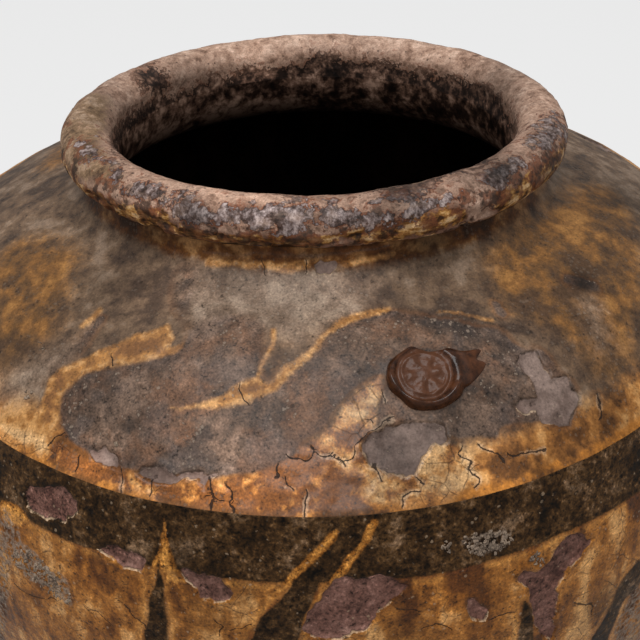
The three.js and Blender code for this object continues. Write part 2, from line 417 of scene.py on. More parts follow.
def rounded(points: Array, closed: bool, steps: int = 5) -> Array:
    """Runs a smooth curve through traced points.

    Args:
        points: Points, two numbers each.
        closed: Whether the last point joins the first.
        steps: Steps from one point to the next.

    Returns:
        The points of the curve.
    """
    if closed:
        spots = np.concatenate([points[-1:], points, points[:2]])
    else:
        spots = np.concatenate([2 * points[:1] - points[1:2], points, 2 * points[-1:] - points[-2:-1]])
    share = np.linspace(0.0, 1.0, steps, endpoint=False)[:, None]
    runs = []
    for before, start, end, after in zip(spots[:-3], spots[1:-2], spots[2:-1], spots[3:]):
        bend = 2 * before - 5 * start + 4 * end - after
        twist = -before + 3 * start - 3 * end + after
        runs.append(start + 0.5 * share * (end - before + share * (bend + share * twist)))
    if not closed:
        runs.append(points[-1:])
    return np.concatenate(runs)


@dataclass(frozen=True)
class Outline:
    """A closed shape traced on the photograph, in its pixels."""

    points: Points

    @classmethod
    def each(cls, *shapes: Points) -> "tuple[Outline, ...]":
        """One shape for each list of points."""
        return tuple(cls(points) for points in shapes)


@dataclass(frozen=True)
class Flake(Outline):
    """A traced shape with the angular edges of glaze that has broken away."""


@dataclass(frozen=True)
class Stroke:
    """A brush stroke or crack traced on the photograph, in its pixels, with half its width in millimetres."""

    points: Points
    half_width: float

    @classmethod
    def each(cls, lines: dict[float, tuple[Points, ...]]) -> "tuple[Stroke, ...]":
        """One stroke for each list of points, which are sorted by half width."""
        return tuple(cls(points, half_width) for half_width, several in lines.items() for points in several)


@dataclass(frozen=True)
class ShadeSpot:
    """A soft spot of painted light and shade, which also sets broad tone, with its pixel, its reach in
    millimetres and how much it lightens.
    """

    pixel: Pair
    reach: float
    amount: float

    @classmethod
    def each(cls, *rows: tuple[float, float, float, float]) -> "tuple[ShadeSpot, ...]":
        """One shade spot for each row of a pixel's two numbers, a reach and an amount."""
        return tuple(cls((across, down), reach, amount) for across, down, reach, amount in rows)

    def lightens(self, away: Array) -> Array:
        """How much lighter it makes points at some way from its middle, in millimetres."""
        return self.amount * np.exp(-(away ** 2).sum(axis=-1) / self.reach ** 2)


def flat_reach(edge: Array, spots: Array, margin: float, closed: bool) -> tuple[Array, Array]:
    """How far inside a flat shape each of some points is, and how far to the left of its nearest edge.

    Args:
        edge: Points of the shape's edge, two numbers each.
        spots: Points to measure, two numbers each.
        margin: Distance beyond which points aren't measured.
        closed: Whether the last point of the edge joins the first.

    Returns:
        Distances, positive inside and negative outside, and the offsets to the left.
    """
    low = edge.min(axis=0) - margin
    high = edge.max(axis=0) + margin
    near = np.all((spots > low) & (spots < high), axis=-1)
    result = np.full(spots.shape[:-1], -margin)
    close = spots[near]
    gap = np.full(len(close), margin ** 2)
    side = np.full(len(close), margin)
    inside = np.zeros(len(close), bool)
    ends = np.roll(edge, -1, axis=0) if closed else edge[1:]
    for start, end in zip(edge, ends):
        run = end - start
        away = close - start
        length = max(math.hypot(*run), 1e-7)
        share = np.clip((away @ run) / length ** 2, 0.0, 1.0)
        square = ((away - share[:, None] * run) ** 2).sum(axis=1)
        side = np.where(square < gap, (run[0] * away[:, 1] - run[1] * away[:, 0]) / length, side)
        gap = np.minimum(gap, square)
        if closed and run[1] != 0.0:
            crosses = (start[1] > close[:, 1]) != (end[1] > close[:, 1])
            inside ^= crosses & (close[:, 0] < run[0] * (close[:, 1] - start[1]) / run[1] + start[0])
    distance = np.sqrt(gap)
    result[near] = np.where(inside, distance, -distance)
    offset = np.full(spots.shape[:-1], margin)
    offset[near] = side
    return result, offset


@dataclass
class Canvas:
    """The unrolled surface of the jar under a mesh's points, on which traced shapes are measured."""

    line: WallLine
    camera: PhotoCamera
    azimuth: Array
    along: Array
    margin: float = 0.012

    def unrolled(self, azimuth: Array, along: Array, middle: float) -> Array:
        """Lays places out flat about a middle azimuth, in metres."""
        turn = (azimuth - middle + math.pi) % (2.0 * math.pi) - math.pi
        return np.stack([turn * self.line.radius(along), along], axis=-1)

    def reach_of(self, places: Array, closed: bool) -> tuple[Array, Array]:
        """How far inside a shape given by places on the jar each point is, and how far left of its edge.

        Args:
            places: Azimuths and ways along of the shape's points.
            closed: Whether the shape is an outline.

        Returns:
            Millimetres, positive inside and negative outside, and millimetres to the left.
        """
        middle = float(places[:, 0].mean())
        edge = self.unrolled(places[:, 0], places[:, 1], middle)
        spots = self.unrolled(self.azimuth, self.along, middle)
        reach, side = flat_reach(edge, spots, self.margin, closed)
        return reach / MM, side / MM

    def reach(self, shape: Outline | Stroke, turn: float, drop: float) -> Array:
        """How far inside a traced shape each point is.

        Args:
            shape: The traced outline or stroke.
            turn: Angle by which the shape is carried round the jar.
            drop: How far the shape is moved down the jar, in metres.

        Returns:
            Millimetres, positive inside and negative outside.
        """
        closed = isinstance(shape, Outline)
        traced = self.camera.on_wall(self.line, shape.points)
        places = traced if isinstance(shape, Flake) else rounded(traced, closed)
        half_width = 0.0 if closed else shape.half_width
        return self.reach_of(places + (turn, drop), closed)[0] + half_width

    def widest(self, shapes: Sequence[Outline | Stroke], turns: Sequence[float] = (0.0,),
               drop: float = 0.0) -> Array:
        """How far inside the nearest of several shapes each point is, in millimetres."""
        reaches = [self.reach(shape, turn, drop) for shape in shapes for turn in turns]
        return np.max(reaches, axis=0)

    def cracks(self, strokes: Sequence[Stroke], turns: Sequence[float]) -> tuple[Array, Array]:
        """How near cracks are to each point.

        Args:
            strokes: The cracks.
            turns: Angles by which they are carried round the jar.

        Returns:
            Millimetres inside the nearest crack, and how many of its half widths the point is to its left.
        """
        reach = np.full(self.along.shape, -self.margin / MM)
        side = np.full(self.along.shape, self.margin / MM)
        for stroke in strokes:
            places = rounded(self.camera.on_wall(self.line, stroke.points), False)
            for turn in turns:
                near, left = self.reach_of(places + (turn, 0.0), False)
                side = np.where(near + stroke.half_width > reach, left / stroke.half_width, side)
                reach = np.maximum(reach, near + stroke.half_width)
        return reach, side

    def spot_shaded(self, shade_spots: Sequence[ShadeSpot]) -> Array:
        """How much lighter or darker soft spots of painted light and shade make each point.

        Args:
            shade_spots: The spots of painted light and shade.

        Returns:
            Shares, positive where lighter.
        """
        places = self.camera.on_wall(self.line, [smudge.pixel for smudge in shade_spots])
        total = np.zeros(self.along.shape)
        for smudge, (azimuth, along) in zip(shade_spots, places):
            away = self.unrolled(self.azimuth, self.along, azimuth) - (0.0, along)
            total += smudge.lightens(away / MM)
        return total


def front_columns(fine_half: float, fine_step: float, coarse_step: float, fade: float) -> Array:
    """Angles round the jar, close together at the front and further apart behind.

    Args:
        fine_half: Half the angle that is fine, in degrees as the others are.
        fine_step: Angle between columns at the front.
        coarse_step: Angle between columns at the back.
        fade: Angle over which one step turns into the other.

    Returns:
        The angles, from the back round by the front.
    """
    turn = np.linspace(-180.0, 180.0, 7201)
    fine = 1.0 - ease(np.abs(turn), fine_half, fine_half + fade)
    crowd = 1.0 / coarse_step + (1.0 / fine_step - 1.0 / coarse_step) * fine
    filled = np.concatenate([[0.0], np.cumsum((crowd[1:] + crowd[:-1]) / 2.0 * np.diff(turn))])
    count = int(round(filled[-1]))
    return np.radians(np.interp(np.arange(count) * filled[-1] / count, filled, turn))


def turned_mesh(name: str, grid: Array, layers: dict[Layer, Array] | None = None,
                poles: tuple[Array, Array] | None = None) -> bpy.types.Object:
    """Makes a closed mesh from rows of points that each go once round.

    Args:
        name: Name of the piece.
        grid: Points by row and column.
        layers: Values for each point, by layer.
        poles: First and last point, where the rows close on the axis; else the last row joins the first.

    Returns:
        The piece, in the scene.
    """
    rows, columns = grid.shape[:2]
    index = np.arange(rows * columns).reshape(rows, columns)
    rings = index if poles else np.concatenate([index, index[:1]])
    beside = np.roll(rings, -1, axis=1)
    quads = np.stack([rings[:-1], beside[:-1], beside[1:], rings[1:]], axis=-1).reshape(-1, 4)
    points = grid.reshape(-1, 3)
    corners = [points[quads[:, k]] for k in range(4)]
    volume = np.einsum("ij,ij->", corners[0], np.cross(corners[1], corners[2]))
    volume += np.einsum("ij,ij->", corners[0], np.cross(corners[2], corners[3]))
    faces = quads.tolist()
    if poles:
        points = np.concatenate([points, np.array(poles)])
        first, last = rows * columns, rows * columns + 1
        faces += [[there, here, first] for here, there in zip(rings[0].tolist(), beside[0].tolist())]
        faces += [[here, there, last] for here, there in zip(rings[-1].tolist(), beside[-1].tolist())]
    if volume < 0.0:
        faces = [face[::-1] for face in faces]
    mesh = bpy.data.meshes.new(name)
    mesh.from_pydata(points.tolist(), [], faces)
    mesh.polygons.foreach_set("use_smooth", np.ones(len(faces), bool))
    for layer, values in (layers or {}).items():
        kept = np.zeros(len(points), np.float32)
        kept[:rows * columns] = values.reshape(-1)
        mesh.attributes.new(layer.value, "FLOAT", "POINT").data.foreach_set("value", kept)
    mesh.update()
    return added(name, mesh)


def worked(operation: str, flipped: bool = False) -> "Callable[..., Field]":
    """Makes a method of Field.

    Args:
        operation: What its Math node does.
        flipped: Whether the other value comes first.

    Returns:
        The method.
    """

    def method(value: "Field", *others: "Field | float") -> "Field":
        """Adds the node to the value's tree."""
        values = (value, *others)
        return value.nodes.math(operation, *(values[::-1] if flipped else values))

    return method


class Field:
    """A value that changes over a surface; arithmetic on it adds Math nodes to its tree."""

    __add__ = __radd__ = worked("ADD")
    __sub__ = worked("SUBTRACT")
    __rsub__ = worked("SUBTRACT", True)
    __mul__ = __rmul__ = worked("MULTIPLY")
    __truediv__ = worked("DIVIDE")
    __rtruediv__ = worked("DIVIDE", True)
    least = worked("MINIMUM")
    most = worked("MAXIMUM")
    size = worked("ABSOLUTE")

    def __init__(self, nodes: "Nodes", socket: bpy.types.NodeSocket) -> None:
        """Keeps the tree and the socket that gives the value."""
        self.nodes = nodes
        self.socket = socket

    def step(self, low: float, high: float) -> "Field":
        """Rises smoothly from 0 at low to 1 at high, or falls where low is the larger.

        Args:
            low: Value that gives 0.
            high: Value that gives 1.

        Returns:
            The eased value.
        """
        flip = low > high
        sockets = {0: self, 1: min(low, high), 2: max(low, high), 3: float(flip), 4: float(not flip)}
        return self.nodes.field("ShaderNodeMapRange", {"interpolation_type": "SMOOTHSTEP"}, sockets)


class Nodes:
    """A node tree, and the way to add to it."""

    def __init__(self, tree: bpy.types.NodeTree) -> None:
        """Empties the tree and keeps it."""
        tree.nodes.clear()
        self.tree = tree

    def node(self, kind: str, settings: dict[str, Any], sockets: dict[str | int, Any]
             ) -> "bpy.types.NodeOutputs":
        """Adds a node.

        Args:
            kind: Type of the node.
            settings: Its settings, set first; "stops" are a ramp's positions and colours.
            sockets: Values, fields or other nodes' sockets for its inputs, by name or number.

        Returns:
            The node's outputs.
        """
        made = self.tree.nodes.new(kind)
        for key, value in settings.items():
            if key == "stops":
                ramp = made.color_ramp
                while len(ramp.elements) < len(value):
                    ramp.elements.new(1.0)
                for element, (position, colour) in zip(ramp.elements, value):
                    element.position = position
                    element.color = colour
            else:
                setattr(made, key, value)
        for key, value in sockets.items():
            given = value.socket if isinstance(value, Field) else value
            if isinstance(given, bpy.types.NodeSocket):
                self.tree.links.new(given, made.inputs[key])
            else:
                made.inputs[key].default_value = given
        return made.outputs

    def field(self, kind: str, settings: dict[str, Any], sockets: dict[str | int, Any],
              output: str | int = 0) -> Field:
        """Adds a node and gives one of its outputs as a field."""
        return Field(self, self.node(kind, settings, sockets)[output])

    def math(self, operation: str, *values: Field | float) -> Field:
        """Adds a Math node on values."""
        return self.field("ShaderNodeMath", {"operation": operation}, dict(enumerate(values)))


class Bench(Nodes):
    """A material's node tree, and the fields and colours that finishes are made of."""

    STOPS = (0.40, 0.47, 0.53, 0.61)

    def __init__(self, name: str) -> None:
        """Starts an empty material of that name."""
        self.material = bpy.data.materials.new(name)
        self.material.use_nodes = True
        super().__init__(self.material.node_tree)
        self.place = self.field("ShaderNodeTexCoord", {}, {}, "Object")

    def layer(self, layer: Layer) -> Field:
        """Reads one of the mesh's own layers."""
        return self.field("ShaderNodeAttribute", {"attribute_name": layer.value}, {}, "Fac")

    def stretched(self, scale: tuple[float, float, float]) -> Field:
        """The place on the piece, stretched along the axes."""
        return self.field("ShaderNodeVectorMath", {"operation": "MULTIPLY"}, {0: self.place, 1: scale})

    def shaken(self, size: float, amount: float, seed: float) -> Field:
        """The place on the piece, moved about by noise.

        Args:
            size: Width of the noise's bumps in millimetres.
            amount: How far it moves places, in millimetres.
            seed: Which noise it is.

        Returns:
            The moved place.
        """
        sockets = {"Vector": self.place, "W": seed, "Scale": 1.0 / (size * MM)}
        noise = self.field("ShaderNodeTexNoise", {"noise_dimensions": "4D"}, sockets, 1)
        moves = {0: self.place, 1: self.toned(noise, 2.0 * amount * MM)}
        return self.field("ShaderNodeVectorMath", {"operation": "ADD"}, moves)

    def noise(self, size: float, detail: float = 4.0, rough: float = 0.55, seed: float = 0.0,
              place: Field | None = None) -> Field:
        """Noise around a half.

        Args:
            size: Width of its bumps in millimetres.
            detail: Number of finer layers.
            rough: Strength of the finer layers.
            seed: Which noise it is.
            place: Where it is read, if not at the place on the piece.

        Returns:
            The noise, from 0 to 1.
        """
        sockets = {"Vector": place or self.place, "W": seed, "Scale": 1.0 / (size * MM),
                   "Detail": detail, "Roughness": rough}
        return self.field("ShaderNodeTexNoise", {"noise_dimensions": "4D"}, sockets)

    def dots(self, size: float, seed: float) -> Field:
        """Millimetres to the middle of the nearest of some scattered dots, about that size apart."""
        sockets = {"Vector": self.place, "W": seed, "Scale": 1.0 / (size * MM)}
        settings = {"feature": "F1", "voronoi_dimensions": "4D"}
        return self.field("ShaderNodeTexVoronoi", settings, sockets, "Distance") * size

    def crazing(self, size: float, seed: float) -> Field:
        """Millimetres to the nearest line of a crooked net of cracks with meshes of that size."""
        sockets = {"Vector": self.shaken(size, 0.3 * size, seed), "Scale": 1.0 / (size * MM)}
        return self.field("ShaderNodeTexVoronoi", {"feature": "DISTANCE_TO_EDGE"}, sockets, "Distance") * size

    def height(self) -> Field:
        """Height on the piece in millimetres."""
        return self.field("ShaderNodeSeparateXYZ", {}, {0: self.place}, 2) / MM

    def mix(self, share: Field | float, low: Field | Colour, high: Field | Colour) -> Field:
        """Goes from one colour to another as the share goes from 0 to 1."""
        return self.field("ShaderNodeMix", {"data_type": "RGBA"}, {0: share, 6: low, 7: high}, 2)

    def tones(self, value: Field, colours: Tones) -> Field:
        """Turns noise into a colour by four colours, from the darkest to the palest."""
        return self.field("ShaderNodeValToRGB", {"stops": tuple(zip(self.STOPS, colours))}, {0: value})

    def toned(self, colour: Field, tone: Field | float) -> Field:
        """Makes a colour lighter or darker by a factor."""
        return self.field("ShaderNodeVectorMath", {"operation": "SCALE"}, {0: colour, "Scale": tone})

    def finish(self, colour: Field, roughness: Field, height: Field, depth: float,
               coat: Field | float = 0.0, coat_roughness: float = 0.3, specular: float = 0.5
               ) -> bpy.types.Material:
        """Ends the tree in a surface shader.

        Args:
            colour: Colour of the surface.
            roughness: Roughness of the surface.
            height: Height of the fine relief, from 0 to 1.
            depth: Depth of that relief in millimetres.
            coat: Share of a clear coat.
            coat_roughness: Roughness of the coat.
            specular: Strength of the gloss.

        Returns:
            The material.
        """
        bump = self.node("ShaderNodeBump", {}, {"Strength": 1.0, "Distance": depth * MM, "Height": height})
        surface = self.node("ShaderNodeBsdfPrincipled", {}, {
            "Base Color": colour, "Roughness": roughness, "Normal": bump[0],
            "Coat Weight": coat, "Coat Roughness": coat_roughness, "Specular IOR Level": specular})
        self.node("ShaderNodeOutputMaterial", {}, {"Surface": surface[0]})
        return self.material


@dataclass
class GlazeWear:
    """The wear that both glaze coats have: flaked patches with torn edges, cracks and grain."""

    bench: Bench
    blotch: Field
    fleck: Field
    dust: Field

    def __post_init__(self) -> None:
        """Reads the coat's layers and makes their edges uneven."""
        self.flakes = self.bench.layer(Layer.FLAKE) + (self.fleck - 0.5)
        self.flaked = self.flakes.step(-0.1, 0.15)
        # The lower edges of the flaked patches, where a pale edge is painted partly as highlight.
        self.torn_lit_edge = (self.bench.layer(Layer.TORN) + (self.dust - 0.5) * 0.6).step(-0.05, 0.15)
        self.cracks = self.bench.layer(Layer.CRACK) + (self.dust - 0.5) * 0.5

    def gaping(self, rim: Field, crazed: Field) -> Field:
        """Where the glaze gapes.

        Args:
            rim: Share of the flaked patches' edges that is undercut.
            crazed: Where fine crazing shows.

        Returns:
            The share of open cracks.
        """
        edge = self.flakes.step(-0.4, -0.05) * self.flakes.step(0.3, 0.05) * rim
        cleft = (self.bench.layer(Layer.CLEFT).size() + (self.dust - 0.5) * 2.0).step(1.15, 0.6)
        return (cleft * self.cracks.step(-0.7, -0.3)).most(edge * 0.5).most(crazed * 0.55)

    def grained(self, colour: Field, lively: Field, amounts: tuple[float, float, float, float]) -> Field:
        """Gives a colour its grain and its spots of painted light and shade.

        Args:
            colour: The colour.
            lively: Strength of the fine grain.
            amounts: Strengths of the flecks, the dust, the chips and the blotches.

        Returns:
            The grained colour.
        """
        flecks, dusting, chips, blotches = amounts
        fine = self.fleck * 0.6 + self.dust * 0.4
        chipped = (fine.step(0.57, 0.66) - fine.step(0.43, 0.34)) * chips
        grain = ((self.fleck - 0.5) * flecks + (self.dust - 0.5) * dusting + chipped) * lively
        # The shade layer carries spots of painted light and shade.
        tone = (1.0 + grain + (self.blotch - 0.5) * blotches) * (1.0 + self.bench.layer(Layer.SHADE))
        return self.bench.toned(colour, tone.most(0.2))


@dataclass(frozen=True)
class ShoulderFinish:
    """Amber glaze under dark brushwork, greyed towards the neck and flaked to the slip in places."""

    body: Tones = tones((72, 56, 45), (94, 74, 58), (108, 86, 67), (128, 107, 89))
    warm: Tones = tones((82, 60, 42), (104, 74, 45), (124, 85, 46), (150, 106, 58))
    strip: Tones = tones((92, 58, 28), (136, 88, 42), (164, 110, 55), (198, 146, 88))
    bright: Tones = tones((112, 66, 28), (160, 104, 50), (188, 134, 76), (218, 172, 118))
    leaf: Tones = tones((62, 50, 43), (86, 68, 56), (100, 79, 65), (126, 102, 86))
    leaf_brown: Colour = paint(114, 78, 54)
    leaf_grey: Colour = paint(96, 83, 77)
    haze: Tones = tones((106, 86, 71), (120, 100, 84), (130, 110, 94), (144, 125, 108))
    # Dark amber-brown tones of the painted shadow under the lip.
    lip_shadow_tones: Tones = tones((58, 30, 4), (84, 45, 8), (104, 62, 18), (156, 112, 66))
    slip: Tones = tones((98, 80, 72), (112, 93, 84), (121, 102, 93), (136, 116, 106))
    orange: Colour = paint(182, 114, 40)
    stroke_brown: Colour = paint(130, 86, 46)
    stroke: Colour = paint(182, 126, 64)
    stroke_pale: Colour = paint(200, 154, 102)
    leaf_edge: Colour = paint(64, 55, 51)
    rust: Colour = paint(112, 68, 36)
    # Pale broken glaze, also painted as highlight on flake edges and beside cracks.
    chip_and_glint: Colour = paint(206, 178, 148)
    crumb: Colour = paint(156, 137, 120)
    pit: Colour = paint(36, 26, 20)

    def make(self) -> bpy.types.Material:
        """Makes the material.

        Returns:
            The material.
        """
        b = Bench("shoulder_glaze")
        along = b.layer(Layer.ALONG)
        cloud = b.noise(24.0, 3.0, 0.5, 1.0)
        patch = b.noise(9.0, 4.0, 0.56, 2.0)
        blotch = b.noise(4.0, 3.0, 0.55, 5.0, b.shaken(6.0, 1.5, 9.0))
        fleck = b.noise(1.6, 3.0, 0.6, 3.0)
        dust = b.noise(0.55, 2.0, 0.6, 4.0)
        wear = GlazeWear(b, blotch, fleck, dust)
        wander = (patch - 0.5) * 5.0 + (fleck - 0.5) * 3.5
        tint = 0.5 + (cloud - 0.5) * 0.55 + (patch - 0.5) * 0.75 + (blotch - 0.5) * 0.45
        calm = tint * 0.8 + 0.1
        # The ground: warm places, the strip above the ridge, gold, a grey veil and painted shadow under the
        # lip.
        warmth = (b.layer(Layer.WARM) + wander * 2.5).step(-6.0, 6.0)
        colour = b.mix(warmth, b.tones(calm, self.body), b.tones(calm, self.warm))
        colour = b.mix((along + wander * 1.4).step(-13.0, -7.0) * 0.95, colour, b.tones(tint, self.strip))
        golden = (b.layer(Layer.GOLD) + wander * 0.6).step(-0.8, 1.2)
        colour = b.mix(golden * 0.95, colour, b.tones(tint * 1.35 - 0.175, self.bright))
        edge = (along + wander * 0.35).step(-2.4, -1.0) * tint.step(0.42, 0.54)
        colour = b.mix(edge * 0.65, colour, self.orange)
        haze = b.layer(Layer.HAZE)
        veil = (haze + wander * 2.5).step(-6.0, 5.0)
        colour = b.mix(veil * 0.8, colour, b.tones(calm, self.haze))
        # Painted shadow: the neck just under the lip is darkened in its colour.
        lip_shadowed = (along + wander * 1.2).step(-60.0, -63.5)
        colour = b.mix(lip_shadowed * 0.9, colour, b.tones(tint, self.lip_shadow_tones))
        # The dark leaves, which fade out under the veil.
        soft = haze.step(-7.0, 1.0)
        dark_reach = (b.layer(Layer.DARK) + wander * (0.35 + soft * 0.7)) / (1.0 + soft * 3.5)
        shaded = dark_reach.step(-0.4, 0.7)
        browned = b.noise(17.0, 5.0, 0.66, 8.0).step(0.46, 0.58)
        greyed = b.noise(12.0, 4.0, 0.6, 10.0).step(0.52, 0.62)
        dark = b.mix(browned * 0.55, b.tones(calm, self.leaf), self.leaf_brown)
        dark = b.mix(greyed * 0.4, dark, self.leaf_grey)
        dark = b.mix(dark_reach.step(5.0, 0.4) * (0.4 - soft * 0.4), dark, self.leaf_edge)
        colour = b.mix(dark_reach.step(-1.6, -0.2) * (0.3 - soft * 0.3), colour, self.rust)
        colour = b.mix(shaded, colour, dark)
        # The amber strokes, paler along their edges.
        stroke_reach = b.layer(Layer.STROKE) + wander * 0.35
        brushed = b.mix((stroke_reach * -0.25 + blotch * 4.0).step(0.9, 2.1), self.stroke_brown, self.stroke)
        lit = stroke_reach.step(2.2, 0.9) * (blotch * 0.6 + fleck * 0.4).step(0.47, 0.57)
        brushed = b.mix(lit * 0.7, brushed, self.stroke_pale)
        stroked = stroke_reach.step(-0.6, 1.0) * (0.4 + patch * 0.9).least(1.0)
        colour = b.mix(stroked, colour, brushed)
        # Flaked patches with a pale lower edge that is partly painted highlight, cracks with painted
        # highlight beside them, grain and dots.
        # Pale broken glaze below each flaked patch, partly painted highlight on its lower edge.
        colour = b.mix(wear.torn_lit_edge * patch.step(0.47, 0.55) * 0.5, colour, self.chip_and_glint)
        colour = b.mix(wear.flaked, colour, b.tones(tint, self.slip))
        # Painted highlight beside the cracks, as on lifted edges that catch the light.
        colour = b.mix(wear.cracks.step(-0.7, -0.2) * patch.step(0.46, 0.54) * 0.3, colour, self.chip_and_glint)
        crazed = b.crazing(6.0, 37.0).step(0.2, 0.04) * golden * cloud.step(0.45, 0.53)
        cracked = wear.gaping(blotch.step(0.44, 0.54), crazed)
        pits = (b.dots(2.2, 6.0) + (dust - 0.5) * 0.9 + (patch - 0.5) * 2.0).step(0.42, 0.16)
        specks = (b.dots(1.2, 7.0) + (dust - 0.5) * 1.6 + (patch - 0.5) * 2.0).step(0.26, 0.08)
        lively = 0.6 + veil * 0.2 + shaded.most(golden * 0.8) * (1.0 - stroked) * 0.5
        lively = lively * (1.0 - wear.flaked * 0.5)
        colour = wear.grained(colour, lively, (1.1, 2.2, 0.35, 0.65))
        colour = b.mix(specks * (shaded.most(veil) * 0.4 + 0.16), colour, self.crumb)
        colour = b.mix(cracked.most(pits * 0.6) * 0.9, colour, self.pit)
        roughness = 0.5 + wear.flaked * 0.14 + (fleck - 0.5) * 0.4
        relief = blotch * 0.5 + fleck * 0.35 + dust * 0.15 * lively
        relief = relief - cracked * 0.5 - pits * 0.3 + specks * 0.3
        coat = (golden.most(stroked) * 0.4 * (1.0 - shaded) + 0.04) * (1.0 - wear.flaked.most(cracked))
        return b.finish(colour, roughness, relief, 0.3, coat, 0.22, 0.18)


@dataclass(frozen=True)
class WallFinish:
    """Dark band under the ridge, amber wall below with brush strokes, flaked to red clay in places."""

    band: Tones = tones((22, 13, 3), (50, 31, 10), (75, 51, 25), (116, 90, 66))
    amber: Tones = tones((90, 49, 11), (136, 82, 25), (166, 107, 43), (208, 154, 92))
    clay: Tones = tones((86, 56, 48), (108, 74, 63), (120, 85, 74), (140, 106, 94))
    gold: Colour = paint(206, 142, 66)
    # Pale broken glaze and specks, also painted as highlight on flake edges.
    chip_and_glint: Colour = paint(214, 182, 148)
    crust: Colour = paint(132, 116, 102)
    rust: Colour = paint(104, 58, 28)
    pit: Colour = paint(34, 24, 18)
    foot_clay: Colour = paint(128, 90, 74)

    def make(self, glaze_end: float) -> bpy.types.Material:
        """Makes the material.

        Args:
            glaze_end: How far below the ridge the glaze stops, in millimetres.

        Returns:
            The material.
        """
        b = Bench("wall_glaze")
        cloud = b.noise(30.0, 4.0, 0.6, 11.0)
        patch = b.noise(10.0, 5.0, 0.62, 12.0)
        blotch = b.noise(4.2, 4.0, 0.6, 18.0)
        fleck = b.noise(1.7, 4.0, 0.62, 13.0)
        dust = b.noise(0.55, 2.0, 0.6, 14.0)
        runs = b.noise(8.0, 3.0, 0.55, 15.0, b.stretched((1.0, 1.0, 0.3)))
        wear = GlazeWear(b, blotch, fleck, dust)
        wander = (patch - 0.5) * 5.0 + (fleck - 0.5) * 3.5
        # The amber ground, and the band and strokes of dark glaze with a rusty, gilt edge.
        tint = 0.5 + (cloud - 0.5) * 0.4 + (runs - 0.5) * 0.65 + (blotch - 0.5) * 0.25
        colour = b.tones(tint, self.amber)
        dark_reach = b.layer(Layer.DARK) + wander * 0.3
        shaded = dark_reach.step(-0.3, 0.5)
        colour = b.mix(dark_reach.step(-2.6, -0.8) * runs.step(0.42, 0.52) * 0.4, colour, self.gold)
        colour = b.mix(dark_reach.step(-0.9, -0.2) * 0.5, colour, self.rust)
        colour = b.mix(shaded, colour, b.tones(patch * 0.5 + blotch * 0.2 + fleck * 0.3, self.band))
        stroke_reach = b.layer(Layer.STROKE) + wander * 0.2
        brushed = b.mix((stroke_reach * 0.15 + fleck * 0.8).step(0.35, 0.75), self.amber[1], self.gold)
        colour = b.mix(stroke_reach.step(-0.3, 0.4), colour, brushed)
        # Flaked patches with a pale lower edge that is partly painted highlight, crust, cracks, grain and
        # dots.
        # Pale broken glaze below each flaked patch, partly painted highlight on its lower edge.
        colour = b.mix(wear.torn_lit_edge * blotch.step(0.45, 0.55) * 0.7, colour, self.chip_and_glint)
        colour = b.mix(wear.flaked, colour, b.tones(patch * 0.4 + blotch * 0.3 + fleck * 0.3, self.clay))
        crusted = (b.layer(Layer.HAZE) + wander * 0.8).step(-0.6, 0.8)
        colour = b.mix(crusted * fleck.step(0.42, 0.54) * 0.8, colour, self.crust)
        crazed = b.crazing(9.0, 38.0).step(0.2, 0.04) * runs.step(0.5, 0.58) * dark_reach.step(0.0, -1.0)
        cracked = wear.gaping(blotch.step(0.46, 0.56), crazed)
        pits = (b.dots(2.2, 16.0) + (dust - 0.5) * 0.9 + (patch - 0.5) * 1.2).step(0.46, 0.2)
        specks = (b.dots(1.8, 17.0) + (dust - 0.5) * 1.1 + (blotch - 0.5) * 1.2).step(0.4, 0.14)
        colour = wear.grained(colour, shaded * 0.5 + 1.0, (1.1, 2.4, 0.4, 0.9))
        colour = b.mix(specks * 0.3, colour, self.chip_and_glint)
        colour = b.mix(cracked.most(pits * 0.8) * 0.8, colour, self.pit)
        # The end of the glaze above the foot, and bare clay below it.
        run_down = b.layer(Layer.ALONG) + (runs - 0.5) * 60.0 + (cloud - 0.5) * 50.0
        colour = b.mix(run_down.step(glaze_end - 9.0, glaze_end - 1.0) * 0.6, colour, self.rust)
        unglazed = run_down.step(glaze_end - 0.6, glaze_end + 0.6)
        bare = b.mix(patch.step(0.36, 0.64), self.clay[2], self.foot_clay)
        colour = b.mix(unglazed, colour, b.toned(bare, 1.0 + (fleck - 0.5) * 1.4))
        matt = wear.flaked.most(unglazed)
        roughness = 0.42 + matt * 0.25 + (fleck - 0.5) * 0.5 + crusted * 0.15
        relief = blotch * 0.4 + fleck * 0.4 + dust * 0.2 - cracked * 0.5 - pits * 0.4 + specks * 0.3
        coat = dark_reach.step(0.3, -0.6) * (1.0 - matt.most(cracked)) * (1.0 - crusted) * 0.3
        return b.finish(colour, roughness, relief, 0.3, coat, 0.22, 0.2)


STAIN = tones((20, 13, 10), (50, 35, 28), (112, 84, 69), (186, 152, 131))


def stain_noise(bench: Bench) -> tuple[Field, Field, Field]:
    """The coarse, middle and fine noise that the stain on the lip and on the liner below it share."""
    coarse = bench.noise(8.0, 5.0, 0.62, 21.0, bench.shaken(3.0, 2.0, 25.0))
    return coarse, bench.noise(3.4, 4.0, 0.62, 26.0), bench.noise(1.4, 4.0, 0.64, 22.0)


